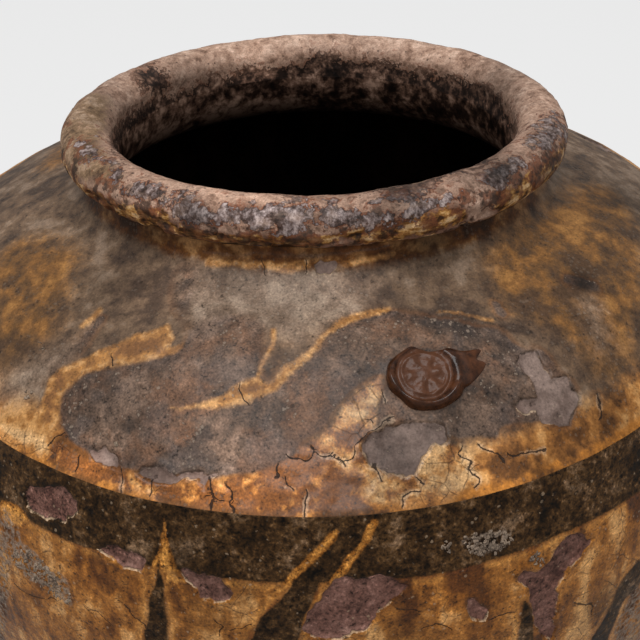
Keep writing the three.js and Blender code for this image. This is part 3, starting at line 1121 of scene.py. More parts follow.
@dataclass(frozen=True)
class LipFinish:
    """Bare pinkish clay on the lip's crown, dark stain inside, scaling slate and amber glaze outside."""

    clay: Tones = tones((132, 101, 83), (168, 135, 115), (182, 150, 130), (206, 176, 156))
    warm: Tones = tones((84, 62, 43), (122, 96, 71), (145, 117, 91), (174, 148, 126))
    slate: Tones = tones((36, 25, 20), (76, 61, 56), (118, 104, 101), (170, 154, 149))
    fringe: Colour = paint(50, 34, 27)
    amber: Tones = tones((66, 40, 18), (138, 92, 44), (180, 134, 76), (212, 174, 128))
    rust: Colour = paint(112, 64, 40)
    # Dark colour of the painted shade on the lip's underside.
    under: Colour = paint(46, 31, 21)
    pit: Colour = paint(34, 26, 24)

    def make(self) -> bpy.types.Material:
        """Makes the material.

        Returns:
            The material.
        """
        b = Bench("worn_lip")
        roll = b.layer(Layer.ROLL)
        patch, scale, fleck = stain_noise(b)
        streak = b.noise(5.0, 4.0, 0.6, 28.0, b.stretched((1.0, 1.0, 2.6)))
        hatch = b.noise(1.3, 3.0, 0.6, 36.0, b.stretched((1.0, 1.0, 0.4)))
        dust = b.noise(0.5, 2.0, 0.6, 23.0)
        tint = patch * 0.45 + scale * 0.4 + fleck * 0.15
        ragged = (patch - 0.5) * 12.0 + (scale - 0.5) * 10.0 + (fleck - 0.5) * 6.0
        warmth = (b.layer(Layer.WARM) + ragged).step(-2.5, 2.5)
        colour = b.mix(warmth, b.tones(tint, self.clay), b.tones(tint, self.warm))
        amber_reach = b.layer(Layer.GOLD) + ragged * 0.7
        colour = b.mix(amber_reach.step(-1.6, 0.0) * 0.6, colour, self.rust)
        glazed = amber_reach.step(-0.3, 0.6)
        streaked = (streak * 0.6 + scale * 0.4 - 0.5) * 1.5 + 0.5
        colour = b.mix(glazed, colour, b.tones(streaked, self.amber))
        rusted = glazed * b.noise(6.0, 4.0, 0.6, 29.0).step(0.52, 0.6)
        colour = b.mix(rusted * 0.8, colour, self.rust)
        worn = (roll + (scale - 0.5) * 0.4).step(0.44, 0.6)
        rusty = (b.noise(6.0, 5.0, 0.62, 30.0, b.shaken(2.4, 1.6, 35.0)) + worn * 0.06).step(0.55, 0.6)
        colour = b.mix(rusty * worn * 0.8, colour, b.mix(scale.step(0.42, 0.58), self.fringe, self.rust))
        dark_reach = b.layer(Layer.DARK) + ragged * 1.4
        colour = b.mix(dark_reach.step(-1.8, -0.1) * streak.step(0.44, 0.54) * 0.9, colour, self.rust)
        dark = dark_reach.step(-0.15, 0.25)
        slate = b.tones(scale * 0.4 + hatch * 0.45 + dust * 0.15, self.slate)
        slate = b.mix(dark_reach.step(0.9, 0.1) * 0.8, slate, self.fringe)
        colour = b.mix(dark * (0.4 + streak).least(1.0), colour, slate)
        stain_reach = b.layer(Layer.HAZE) + ragged * 1.6 + 0.8
        stained = stain_reach.step(-0.5, 0.4)
        inside = b.tones(tint - 0.02, STAIN)
        colour = b.mix(stain_reach.step(-2.4, -0.2) * streak.step(0.44, 0.54) * 0.7, colour, self.rust)
        colour = b.mix(stained, colour, inside)
        # Painted shade: the lip's underside is darkened in its colour.
        below = (roll + (patch - 0.5) * 0.5 + (scale - 0.5) * 0.3).step(0.86, 0.93)
        colour = b.mix(below, colour, self.under)
        pits = (b.dots(2.0, 27.0) + (dust - 0.5) * 0.5).step(0.46, 0.28)
        grain = ((fleck - 0.5) * 1.1 + (dust - 0.5) * 1.4) * (1.0 - dark * 0.4) + (scale - 0.5) * 1.0
        # Grain, and spots of painted light and shade.
        colour = b.toned(colour, ((1.0 + grain) * (1.0 + b.layer(Layer.SHADE))).most(0.2))
        colour = b.mix(pits * 0.6, colour, self.pit)
        roughness = 0.7 - dark * 0.16 - glazed * 0.2 + (fleck - 0.5) * 0.5
        relief = scale * 0.3 + fleck * 0.4 + dust * 0.25 + dark * 0.3 - pits * 0.4
        return b.finish(colour, roughness, relief, 0.3, 0.0, 0.3, 0.24)


@dataclass(frozen=True)
class LinerFinish:
    """Near-black glaze inside the jar, with brown runs and worn spots under the lip."""

    black: Colour = paint(22, 16, 13)
    brown: Colour = paint(56, 40, 33)

    def make(self, top: float) -> bpy.types.Material:
        """Makes the material.

        Args:
            top: Height of the liner's top in millimetres.

        Returns:
            The material.
        """
        b = Bench("liner_glaze")
        patch, scale, fleck = stain_noise(b)
        runs = b.noise(14.0, 5.0, 0.6, 31.0, b.stretched((1.0, 1.0, 0.3)))
        colour = b.mix((runs * 0.6 + fleck * 0.4).step(0.44, 0.62), self.black, self.brown)
        above = b.height() - top
        high = above.step(-30.0, -7.0)
        pale = b.noise(30.0, 2.0, 0.5, 32.0).step(0.46, 0.54) * 0.04 + above.step(-7.0, -16.0) * 0.06
        colour = b.mix(high, colour, b.tones(patch * 0.45 + scale * 0.4 + fleck * 0.15 + pale - 0.02, STAIN))
        return b.finish(colour, 0.6 + (fleck - 0.5) * 0.3, fleck, 0.2, 0.0, 0.3, 0.1)


@dataclass(frozen=True)
class FootFinish:
    """Bare fired clay of the foot, rubbed paler where it stands."""

    clay: Colour = paint(128, 90, 74)
    clay_dark: Colour = paint(90, 60, 48)
    rubbed: Colour = paint(164, 130, 108)

    def make(self) -> bpy.types.Material:
        """Makes the material.

        Returns:
            The material.
        """
        b = Bench("foot_clay")
        patch = b.noise(16.0, 6.0, 0.6, 41.0)
        fleck = b.noise(2.2, 5.0, 0.65, 42.0)
        colour = b.mix((patch * 0.5 + fleck * 0.5).step(0.36, 0.62), self.clay_dark, self.clay)
        colour = b.mix((patch * 0.4 + fleck * 0.6).step(0.54, 0.66) * 0.8, colour, self.rubbed)
        return b.finish(colour, 0.85 + (fleck - 0.5) * 0.2, fleck, 0.5, 0.0, 0.3, 0.3)


@dataclass(frozen=True)
class WaxFinish:
    """Dark brown sealing wax, dusty on the stamped face and glossy on its bead."""

    deep: Colour = paint(40, 20, 9)
    wax: Colour = paint(82, 47, 26)
    dusty: Colour = paint(94, 60, 42)

    def make(self) -> bpy.types.Material:
        """Makes the material.

        Returns:
            The material.
        """
        b = Bench("seal_wax")
        face = b.layer(Layer.ROLL)
        patch = b.noise(3.2, 5.0, 0.6, 51.0)
        fleck = b.noise(0.9, 4.0, 0.6, 52.0)
        colour = b.mix(patch.step(0.36, 0.64), self.deep, self.wax)
        worn = (face + (patch - 0.5) * 1.2 + (fleck - 0.5) * 0.6).step(0.35, 0.75)
        colour = b.mix(worn * 0.7, colour, self.dusty)
        colour = b.toned(colour, 1.0 + (fleck - 0.5) * 1.0)
        roughness = 0.24 + worn * 0.14 + (fleck - 0.5) * 0.16
        return b.finish(colour, roughness, fleck * 0.5 + patch * 0.5, 0.2, 0.3 - worn * 0.18, 0.14, 0.2)


@dataclass(frozen=True)
class CrustFinish:
    """Pale kiln grit stuck in the glaze."""

    bone: Colour = paint(156, 136, 117)
    grey: Colour = paint(86, 73, 63)

    def make(self) -> bpy.types.Material:
        """Makes the material.

        Returns:
            The material.
        """
        b = Bench("kiln_grit")
        patch = b.noise(3.0, 4.0, 0.6, 61.0)
        fleck = b.noise(0.6, 4.0, 0.6, 62.0)
        colour = b.mix((patch * 0.6 + fleck * 0.4).step(0.38, 0.6), self.grey, self.bone)
        return b.finish(colour, 0.8 + (fleck - 0.5) * 0.2, fleck, 0.2, 0.0, 0.3, 0.2)


@dataclass(frozen=True)
class Brushwork:
    """The shapes on the shoulder and wall, traced on the photograph."""

    leaves: Outline = Outline((
        (58, 400), (58, 420), (65, 436), (79, 449), (98, 459), (120, 467), (140, 471), (165, 476),
        (190, 475), (215, 476), (240, 472), (263, 466), (282, 464), (298, 455), (300, 442), (320, 425),
        (334, 408), (347, 393), (362, 381), (381, 373), (386, 384), (380, 398), (379, 412), (381, 422),
        (365, 434), (363, 447), (375, 462), (395, 474), (410, 470), (420, 452), (434, 440), (451, 436),
        (470, 437), (493, 434), (504, 422), (540, 418), (548, 422), (567, 425), (577, 400), (575, 385),
        (560, 370), (545, 352), (524, 346), (504, 332), (489, 326), (467, 324), (440, 318), (402, 312),
        (387, 309), (357, 312), (336, 321), (320, 339), (302, 353), (286, 363), (272, 378), (262, 376),
        (260, 358), (260, 338), (262, 322), (240, 311), (215, 314), (195, 324), (184, 340), (174, 350),
        (155, 357), (131, 361), (106, 366), (88, 371), (74, 379), (61, 391)))
    dark_lines: tuple[Stroke | Outline, ...] = (
        Stroke(((52, 370), (70, 352), (86, 336), (98, 318)), 1.3),
        Stroke(((570, 280), (582, 283), (594, 286)), 1.9),
        Stroke(((497, 305), (501, 314)), 1.2),
        Outline(((179, 276), (186, 268), (195, 272), (196, 286), (190, 299), (183, 313), (177, 308),
                 (176, 292))),
        Stroke(((205, 252), (240, 255), (262, 254), (300, 256), (340, 253), (390, 245)), 0.35),
    )
    amber_s: Outline = Outline((
        (169, 402), (184, 403), (204, 400), (224, 390), (241, 380), (257, 376), (270, 378), (287, 363),
        (302, 353), (320, 338), (336, 321), (357, 311), (388, 305), (390, 311), (371, 316), (349, 323),
        (332, 333), (320, 347), (306, 361), (290, 374), (271, 388), (255, 396), (235, 403), (214, 407),
        (192, 407)))
    amber_a: Outline = Outline((
        (46, 385), (50, 375), (61, 365), (82, 356), (102, 346), (122, 338), (147, 330), (169, 326),
        (174, 334), (169, 344), (184, 340), (174, 350), (155, 357), (131, 361), (106, 366), (88, 371),
        (74, 379), (61, 391), (57, 402), (56, 420), (48, 430), (40, 420), (42, 400)))
    amber_lines: tuple[Stroke, ...] = Stroke.each({
        0.7: (((440, 313), (465, 315), (489, 319)), ((273, 330), (270, 348), (264, 364), (256, 378))),
        0.8: (((82, 325), (92, 315), (98, 309)), ((346, 263), (366, 260), (394, 253))),
        1.2: (((208, 262), (219, 264), (230, 264)), ((238, 263), (249, 266), (260, 265))),
        1.4: (((267, 266), (285, 268), (303, 265)),),
    })
    haze: tuple[Outline, ...] = Outline.each(
        ((185, 275), (240, 268), (320, 268), (370, 285), (365, 305), (340, 318), (318, 338), (300, 352),
         (288, 360), (283, 340), (270, 322), (240, 312), (205, 318), (185, 310)),
        ((0, 384), (30, 362), (60, 345), (68, 352), (36, 378), (0, 400)),
        ((583, 296), (592, 300), (600, 320), (606, 342), (598, 345), (590, 325), (582, 308)),
    )
    gold: Outline = Outline((
        (0, 425), (40, 435), (60, 440), (80, 452), (120, 468), (160, 480), (215, 480), (262, 468),
        (282, 455), (300, 443), (325, 428), (345, 400), (365, 382), (382, 375), (380, 400), (376, 422),
        (362, 440), (372, 462), (395, 476), (412, 474), (425, 452), (445, 440), (470, 450), (480, 470),
        (450, 500), (400, 508), (320, 516), (230, 513), (163, 503), (94, 481), (49, 465), (0, 440)))
    warm: tuple[Outline, ...] = Outline.each(
        ((0, 255), (40, 240), (75, 250), (70, 285), (60, 320), (40, 345), (15, 360), (0, 370)),
        ((490, 250), (530, 215), (570, 190), (610, 190), (635, 230), (639, 330), (620, 380), (585, 360),
         (560, 335), (530, 320), (500, 300)),
        ((280, 345), (300, 330), (318, 322), (325, 332), (308, 350), (290, 362), (276, 370)),
    )
    shoulder_flakes: tuple[Flake, ...] = Flake.each(
        ((363, 442), (375, 429), (387, 422), (406, 419), (432, 418), (444, 426), (448, 435), (434, 440),
         (422, 450), (416, 461), (411, 473), (393, 475), (377, 465), (364, 453)),
        ((524, 352), (536, 350), (544, 362), (551, 373), (567, 377), (577, 391), (575, 405), (568, 422),
         (561, 427), (546, 423), (539, 408), (524, 411), (516, 405), (522, 397), (540, 391), (534, 377),
         (518, 361)),
        ((92, 446), (104, 444), (116, 456), (119, 466), (106, 465), (94, 457)),
        ((133, 468), (143, 464), (155, 467), (168, 472), (176, 476), (190, 471), (200, 472), (208, 478),
         (221, 474), (218, 479), (210, 482), (206, 485), (196, 481), (183, 479), (172, 484), (160, 484),
         (151, 480), (146, 474)),
        ((313, 264), (320, 260), (335, 260), (336, 268), (328, 275), (316, 273)),
    )
    shoulder_cracks: tuple[Stroke, ...] = Stroke.each({
        0.12: (((262, 261), (264, 272)),),
        0.14: (((121, 468), (120, 487)), ((283, 481), (289, 489)), ((316, 453), (326, 457), (338, 459)),
               ((334, 453), (344, 461)),
               ((392, 415), (380, 422), (368, 430), (359, 441), (353, 456), (338, 459)),
               ((383, 389), (384, 398)), ((362, 413), (369, 418))),
        0.16: (((113, 353), (112, 365)), ((241, 381), (243, 390), (246, 399)),
               ((206, 493), (213, 497), (221, 500)), ((277, 463), (276, 475)), ((305, 262), (304, 273))),
        0.18: (((461, 442), (459, 450), (471, 461), (469, 469), (479, 479), (475, 486)),),
        0.2: (((62, 434), (50, 446)), ((152, 481), (150, 494)), ((229, 488), (233, 499)),
               ((304, 497), (305, 514)), ((286, 452), (307, 462), (316, 453), (313, 446)),
               ((375, 463), (376, 471), (381, 477)), ((415, 475), (424, 479)),
               ((400, 502), (404, 495), (414, 489), (422, 489)), ((598, 395), (604, 412), (602, 422))),
        0.22: (((79, 455), (75, 469)), ((508, 457), (522, 458), (536, 455), (546, 453))),
        0.24: (((230, 503), (233, 514)),),
        0.26: (((211, 482), (213, 497), (211, 512)), ((479, 442), (489, 450), (501, 462))),
    })
    wall_cracks: tuple[Stroke, ...] = Stroke.each({
        0.16: (((231, 630), (250, 626)),),
        0.18: (((86, 611), (98, 614), (112, 626)), ((124, 605), (131, 615), (143, 627)),
               ((400, 609), (410, 610), (417, 613)), ((424, 626), (440, 622), (449, 627)),
               ((491, 616), (503, 614), (516, 611))),
        0.2: (((214, 621), (222, 627), (219, 635)), ((16, 584), (35, 596), (57, 601))),
        0.22: (((573, 604), (589, 603), (593, 611)),),
    })
    wall_strokes: tuple[Outline, ...] = Outline.each(
        ((157, 567), (163, 583), (165, 610), (168, 645), (170, 680), (162, 702), (151, 688), (144, 655),
         (148, 610), (152, 588)),
        ((345, 540), (335, 560), (320, 585), (305, 615), (299, 645), (300, 678), (286, 704), (262, 690),
         (248, 652), (259, 620), (271, 606), (296, 577), (320, 552), (333, 538)),
        ((639, 560), (620, 585), (606, 614), (588, 645), (578, 680), (590, 690), (606, 650), (622, 604),
         (639, 585)),
        ((521, 605), (530, 606), (535, 645), (533, 680), (525, 688), (520, 650)),
    )
    wall_amber: tuple[Outline, ...] = Outline.each(
        ((162, 516), (166, 532), (170, 552), (178, 570), (187, 583), (171, 588), (166, 600), (164, 582),
         (158, 564), (152, 580), (147, 606), (145, 585), (151, 562), (159, 550), (160, 534)),
        ((332, 530), (338, 536), (322, 552), (300, 575), (285, 590), (272, 598), (268, 590), (284, 580),
         (300, 562), (318, 543)),
        ((370, 518), (377, 522), (370, 540), (361, 555), (350, 570), (340, 580), (322, 600), (312, 615),
         (306, 612), (318, 592), (330, 577), (344, 560), (360, 544), (364, 530)),
        ((3, 503), (20, 508), (29, 524), (16, 530), (2, 520)),
    )
    wall_flakes: tuple[Flake, ...] = Flake.each(
        ((320, 601), (332, 578), (345, 573), (357, 580), (381, 577), (398, 580), (408, 587), (391, 599),
         (376, 611), (377, 618), (361, 628), (340, 639), (318, 639), (303, 630), (306, 615)),
        ((583, 533), (593, 536), (590, 545), (575, 561), (556, 588), (555, 604), (553, 626), (550, 639),
         (540, 639), (536, 626), (532, 604), (524, 588), (517, 581), (521, 571), (540, 571), (553, 562),
         (557, 547), (567, 538)),
        ((95, 544), (114, 544), (133, 552), (145, 563), (143, 572), (122, 567), (106, 556)),
        ((180, 571), (196, 573), (216, 577), (232, 593), (229, 599), (214, 603), (201, 601), (200, 591),
         (186, 581)),
        ((31, 485), (61, 489), (75, 499), (77, 514), (61, 522), (47, 518), (27, 505), (25, 491)),
        ((465, 604), (475, 601), (489, 609), (485, 616), (471, 617)),
    )
    wall_crust: tuple[Outline, ...] = Outline.each(
        ((465, 540), (480, 533), (505, 531), (511, 540), (500, 550), (475, 552)),
        ((8, 540), (30, 548), (48, 568), (62, 575), (72, 600), (70, 607), (52, 590), (30, 580), (14, 562)),
        ((0, 522), (12, 524), (22, 545), (12, 562), (8, 600), (5, 639), (0, 639)),
        ((639, 590), (626, 606), (614, 639), (639, 639)),
    )
    band_grit: tuple[Outline, ...] = Outline.each(
        ((463, 540), (480, 532), (505, 531), (512, 540), (500, 551), (475, 553)),
        ((440, 545), (447, 541), (454, 546), (448, 552)),
        ((529, 558), (538, 551), (547, 556), (540, 565)),
        ((12, 556), (32, 552), (66, 588), (70, 604), (48, 592)),
    )
    shoulder_grit: tuple[Outline, ...] = Outline.each(
        ((36, 340), (44, 340), (44, 347), (36, 347)),
        ((21, 390), (29, 390), (29, 397), (21, 397)),
        ((109, 437), (117, 437), (117, 443), (109, 443)),
    )
    # Spots of painted light and shade on the shoulder, which also set broad tone.
    shoulder_shade_spots: tuple[ShadeSpot, ...] = ShadeSpot.each(
        (25, 447, 8.0, -0.15), (85, 463, 6.5, 1.6), (222, 496, 11.0, 1.3), (290, 466, 8.0, 0.6),
        (385, 497, 8.0, -0.35), (448, 492, 7.0, -0.45), (496, 466, 7.0, 0.6), (545, 465, 6.0, -0.25),
        (612, 425, 11.0, -0.4), (112, 412, 9.0, -0.35), (203, 430, 8.0, 0.75), (368, 402, 5.0, -0.35),
        (462, 416, 8.0, -0.5), (395, 445, 6.0, -0.3), (622, 200, 18.0, -0.5), (15, 220, 12.0, 0.25),
        (105, 285, 9.0, -0.25), (165, 300, 7.0, 0.4), (582, 283, 4.5, -0.75), (196, 268, 8.0, 0.8),
        (275, 270, 8.0, 0.5), (352, 272, 9.0, 0.9), (430, 242, 7.0, -0.55), (150, 236, 5.0, -0.3))
    # Spots of painted light and shade on the wall, which also set broad tone.
    wall_shade_spots: tuple[ShadeSpot, ...] = ShadeSpot.each(
        (450, 600, 7.0, 0.3), (205, 620, 8.0, -0.3), (180, 562, 5.0, -0.45), (90, 590, 8.0, 0.2),
        (405, 632, 7.0, -0.35), (240, 592, 5.0, -0.3), (604, 604, 9.0, -0.5), (560, 560, 5.0, -0.3))
    shoulder_repeats: tuple[float, ...] = (0.0, math.pi)
    wall_repeats: tuple[float, ...] = (0.0, math.pi / 2.0, math.pi, -math.pi / 2.0)


@dataclass(frozen=True)
class Patch:
    """A flaked patch on a side that the photograph doesn't show, where the solids have it.

    Its azimuth and turn are in degrees, and its way along, width and height in millimetres.
    """

    azimuth: float
    along: float
    width: float
    height: float
    turn: float


@dataclass(frozen=True)
class SideWear:
    """The flaked patches round the sides and back."""

    shoulder: tuple[Patch, ...] = (Patch(112, -17, 17, 11, 0), Patch(-160, -24, 17, 17, 40))
    wall: tuple[Patch, ...] = (Patch(95, 60, 28, 17, 30), Patch(150, 110, 17, 28, 0),
                               Patch(-110, 76, 28, 17, -35))
    corners: int = 13
    ragged: float = 0.26
    seed: int = 5

    def reach(self, canvas: Canvas, patches: Sequence[Patch], drop: float) -> Array:
        """How far inside the nearest of the patches each point of a coat is.

        Args:
            canvas: The coat's unrolled points.
            patches: The patches.
            drop: How far the patches are moved down the jar, in metres.

        Returns:
            Millimetres, positive inside.
        """
        chance = np.random.default_rng(self.seed)
        corner = np.arange(self.corners) * 2.0 * math.pi / self.corners
        reaches = []
        for patch in patches:
            reach = 0.5 * MM * (1.0 + self.ragged * chance.uniform(-1.0, 1.0, self.corners))
            across = reach * patch.width * np.cos(corner)
            rise = reach * patch.height * np.sin(corner)
            turn = math.radians(patch.turn)
            ways = patch.along * MM - (across * math.sin(turn) + rise * math.cos(turn))
            sideways = across * math.cos(turn) - rise * math.sin(turn)
            turns = math.radians(patch.azimuth) + sideways / canvas.line.radius(ways)
            places = rounded(np.stack([turns, ways], axis=1), True)
            reaches.append(canvas.reach_of(places + (0.0, drop), True)[0])
        return np.max(reaches, axis=0)


@dataclass
class Coats:
    """The glazed shoulder and wall of the jar, which meet at the ridge."""

    line: WallLine
    camera: PhotoCamera
    work: Brushwork = field(default_factory=Brushwork)
    wear: SideWear = field(default_factory=SideWear)
    columns: Array = field(default_factory=lambda: front_columns(41.0, 0.23, 1.25, 10.0))
    row: float = 0.5 * MM
    lap: float = 0.05 * MM
    coarse_row: float = 5.0 * MM
    fine_wall: float = 58.0 * MM
    inner_rows: int = 8
    band_height: float = 16.6
    band_reach: float = 12.0
    band_wobble: Bumps = Bumps(0.9, 8, 22.0 * MM, 3)
    sway: Bumps = Bumps(0.35 * MM, 3, 30.0 * MM, 2)
    ripple: Bumps = Bumps(0.13 * MM, 4, 4.0 * MM, 3)
    edge_wobble: Bumps = Bumps(0.5, 6, 2.4 * MM, 2)
    flake_depth: float = 0.75 * MM
    flake_lift: float = 0.16 * MM
    shoulder_tear: float = 0.5 * MM
    wall_tear: float = 0.55 * MM
    crack_depth: float = 0.1 * MM
    ridge_wobble: Bumps = Bumps(0.5 * MM, 5, 11.0 * MM, 2)
    ridge_reach: float = 7.0 * MM
    mouth_flare: float = 1.2 * MM
    flare_height: float = 9.0 * MM
    brush_crook: Pair = (1.2 * MM, 7.0 * MM)
    break_crook: Pair = (1.8 * MM, 4.6 * MM)
    glaze_end: float = 192.0

    def crooked(self, canvas: Canvas, amount: float, size: float) -> Canvas:
        """Moves a canvas's points about a little, so that what is traced on it gets crooked edges.

        Args:
            canvas: The plain canvas.
            amount: How far points move, in metres.
            size: Width of the crooks, in metres.

        Returns:
            The crooked canvas.
        """
        spots = self.line.place(canvas.azimuth, canvas.along)
        sideways, down = (amount * Grain(seed).layered(spots, size, 3, 0.6) for seed in (11, 12))
        turned = canvas.azimuth + sideways / self.line.radius(canvas.along)
        return Canvas(self.line, self.camera, turned, canvas.along + down)

    def canvases(self, ways: Array) -> tuple[Canvas, Canvas, Canvas]:
        """The canvases of a coat's outside rows.

        Args:
            ways: Ways along of the rows.

        Returns:
            The plain canvas, a crooked one for brushwork and one for flakes and cracks.
        """
        azimuth, along = np.meshgrid(self.columns, ways)
        plain = Canvas(self.line, self.camera, azimuth, along)
        return plain, self.crooked(plain, *self.brush_crook), self.crooked(plain, *self.break_crook)

    def broken(self, canvas: Canvas, flakes: Sequence[Flake], patches: Sequence[Patch], tear: float,
               cracks: Sequence[Stroke], turns: Sequence[float]) -> dict[Layer, Array]:
        """Measures a coat's flaked patches, their torn edges and its cracks.

        Args:
            canvas: The coat's points.
            flakes: Patches traced on the photograph.
            patches: Patches on the other sides.
            tear: How far torn edges show below the patches, in metres.
            cracks: Cracks traced on the photograph.
            turns: Angles by which the cracks are carried round the jar.

        Returns:
            The layers.
        """
        flaked, torn_lit_edge = (np.maximum(canvas.widest(flakes, drop=drop), self.wear.reach(canvas, patches, drop))
                        for drop in (0.0, tear))
        reach, side = canvas.cracks(cracks, turns)
        return {Layer.FLAKE: flaked, Layer.TORN: torn_lit_edge, Layer.CRACK: reach, Layer.CLEFT: side}

    def relief(self, canvas: Canvas, layers: dict[Layer, Array]) -> Array:
        """How far the surface stands off its plain line.

        Args:
            canvas: The coat's points.
            layers: The coat's layers.

        Returns:
            Metres, outwards.
        """
        spots = self.line.place(canvas.azimuth, canvas.along)
        at_ridge = np.exp(-(canvas.along / self.ridge_reach) ** 2)
        ground = self.sway.at(spots) + self.ripple.at(spots) + at_ridge * self.ridge_wobble.at(spots)
        edge = layers[Layer.FLAKE] + self.edge_wobble.at(spots)
        pit = -self.flake_depth * ease(edge, -0.3, 0.6)
        lift = self.flake_lift * np.exp(-((edge + 0.8) / 0.8) ** 2)
        groove = -self.crack_depth * ease(layers[Layer.CRACK], -0.4, 0.3)
        return ground + pit + lift + groove

    def ring(self, name: str, canvas: Canvas, layers: dict[Layer, Array]) -> bpy.types.Object:
        """Makes a closed ring with a dressed outside and a plain inside.

        Args:
            name: Name of the piece.
            canvas: Points of the outside.
            layers: Layers of the outside.

        Returns:
            The piece.
        """
        outside = self.line.place(canvas.azimuth, canvas.along, self.relief(canvas, layers))
        back = np.linspace(canvas.along[-1, 0], canvas.along[0, 0], self.inner_rows)
        azimuth, along = np.meshgrid(self.columns, back)
        flare = self.mouth_flare * ease(along, self.line.top + self.flare_height, self.line.top)
        inside = self.line.place(azimuth, along, flare - (self.line.glaze + self.line.clay))
        spare = np.full(inside.shape[:2], FAR_OUT)
        both = {layer: np.concatenate([values, spare * (layer is not Layer.SHADE)])
                for layer, values in layers.items()}
        return turned_mesh(name, np.concatenate([outside, inside]), both)

    def build_shoulder(self) -> bpy.types.Object:
        """Builds the neck and shoulder down to the ridge.

        Returns:
            The piece, dressed.
        """
        ways = np.linspace(self.line.top, -self.lap, int(-self.line.top / self.row))
        canvas, brushed, crooked = self.canvases(np.concatenate([ways, [0.0]]))
        work = self.work
        turns = work.shoulder_repeats
        layers = {
            Layer.ALONG: canvas.along / MM,
            Layer.DARK: np.maximum(brushed.widest([work.leaves], turns), brushed.widest(work.dark_lines)),
            Layer.STROKE: np.maximum(brushed.widest([work.amber_s, work.amber_a], turns),
                                     brushed.widest(work.amber_lines)),
            Layer.HAZE: canvas.widest(work.haze, turns),
            Layer.GOLD: canvas.widest([work.gold], turns),
            Layer.WARM: canvas.widest(work.warm, turns),
            # Spots of painted light and shade.
            Layer.SHADE: canvas.spot_shaded(work.shoulder_shade_spots),
            Layer.GRIT: np.maximum(canvas.widest(work.shoulder_grit), -1.0),
        }
        layers |= self.broken(crooked, work.shoulder_flakes, self.wear.shoulder, self.shoulder_tear,
                              work.shoulder_cracks, turns)
        piece = self.ring("shoulder_coat", canvas, layers)
        piece.data.materials.append(ShoulderFinish().make())
        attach(piece, BODY)
        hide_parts("shoulder_glaze", "shoulder", "neck_collar")
        return piece

    def build_wall(self) -> bpy.types.Object:
        """Builds the band and wall from the ridge down to the foot.

        Returns:
            The piece, dressed.
        """
        fine = np.linspace(self.lap, self.fine_wall, int(self.fine_wall / self.row))
        rest = self.line.bottom - self.fine_wall
        coarse = np.linspace(self.fine_wall, self.line.bottom, int(rest / self.coarse_row))
        canvas, brushed, crooked = self.canvases(np.concatenate([[0.0], fine, coarse[1:]]))
        work = self.work
        turns = work.wall_repeats
        spots = self.line.place(canvas.azimuth, canvas.along)
        band = np.minimum(self.band_height - canvas.along / MM, self.band_reach)
        band += self.band_wobble.at(spots)
        layers = {
            Layer.ALONG: canvas.along / MM,
            Layer.DARK: np.maximum(band, brushed.widest(work.wall_strokes, turns)),
            Layer.STROKE: brushed.widest(work.wall_amber, turns),
            Layer.HAZE: canvas.widest(work.wall_crust),
            # Spots of painted light and shade.
            Layer.SHADE: canvas.spot_shaded(work.wall_shade_spots),
            Layer.GRIT: np.maximum(canvas.widest(work.band_grit), -1.0),
        }
        layers |= self.broken(crooked, work.wall_flakes, self.wear.wall, self.wall_tear,
                              work.wall_cracks, turns)
        piece = self.ring("wall_coat", canvas, layers)
        piece.data.materials.append(WallFinish().make(self.glaze_end))
        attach(piece, BODY)
        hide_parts("wall_glaze", "band_glaze", "upper_wall", "lower_wall")
        return piece


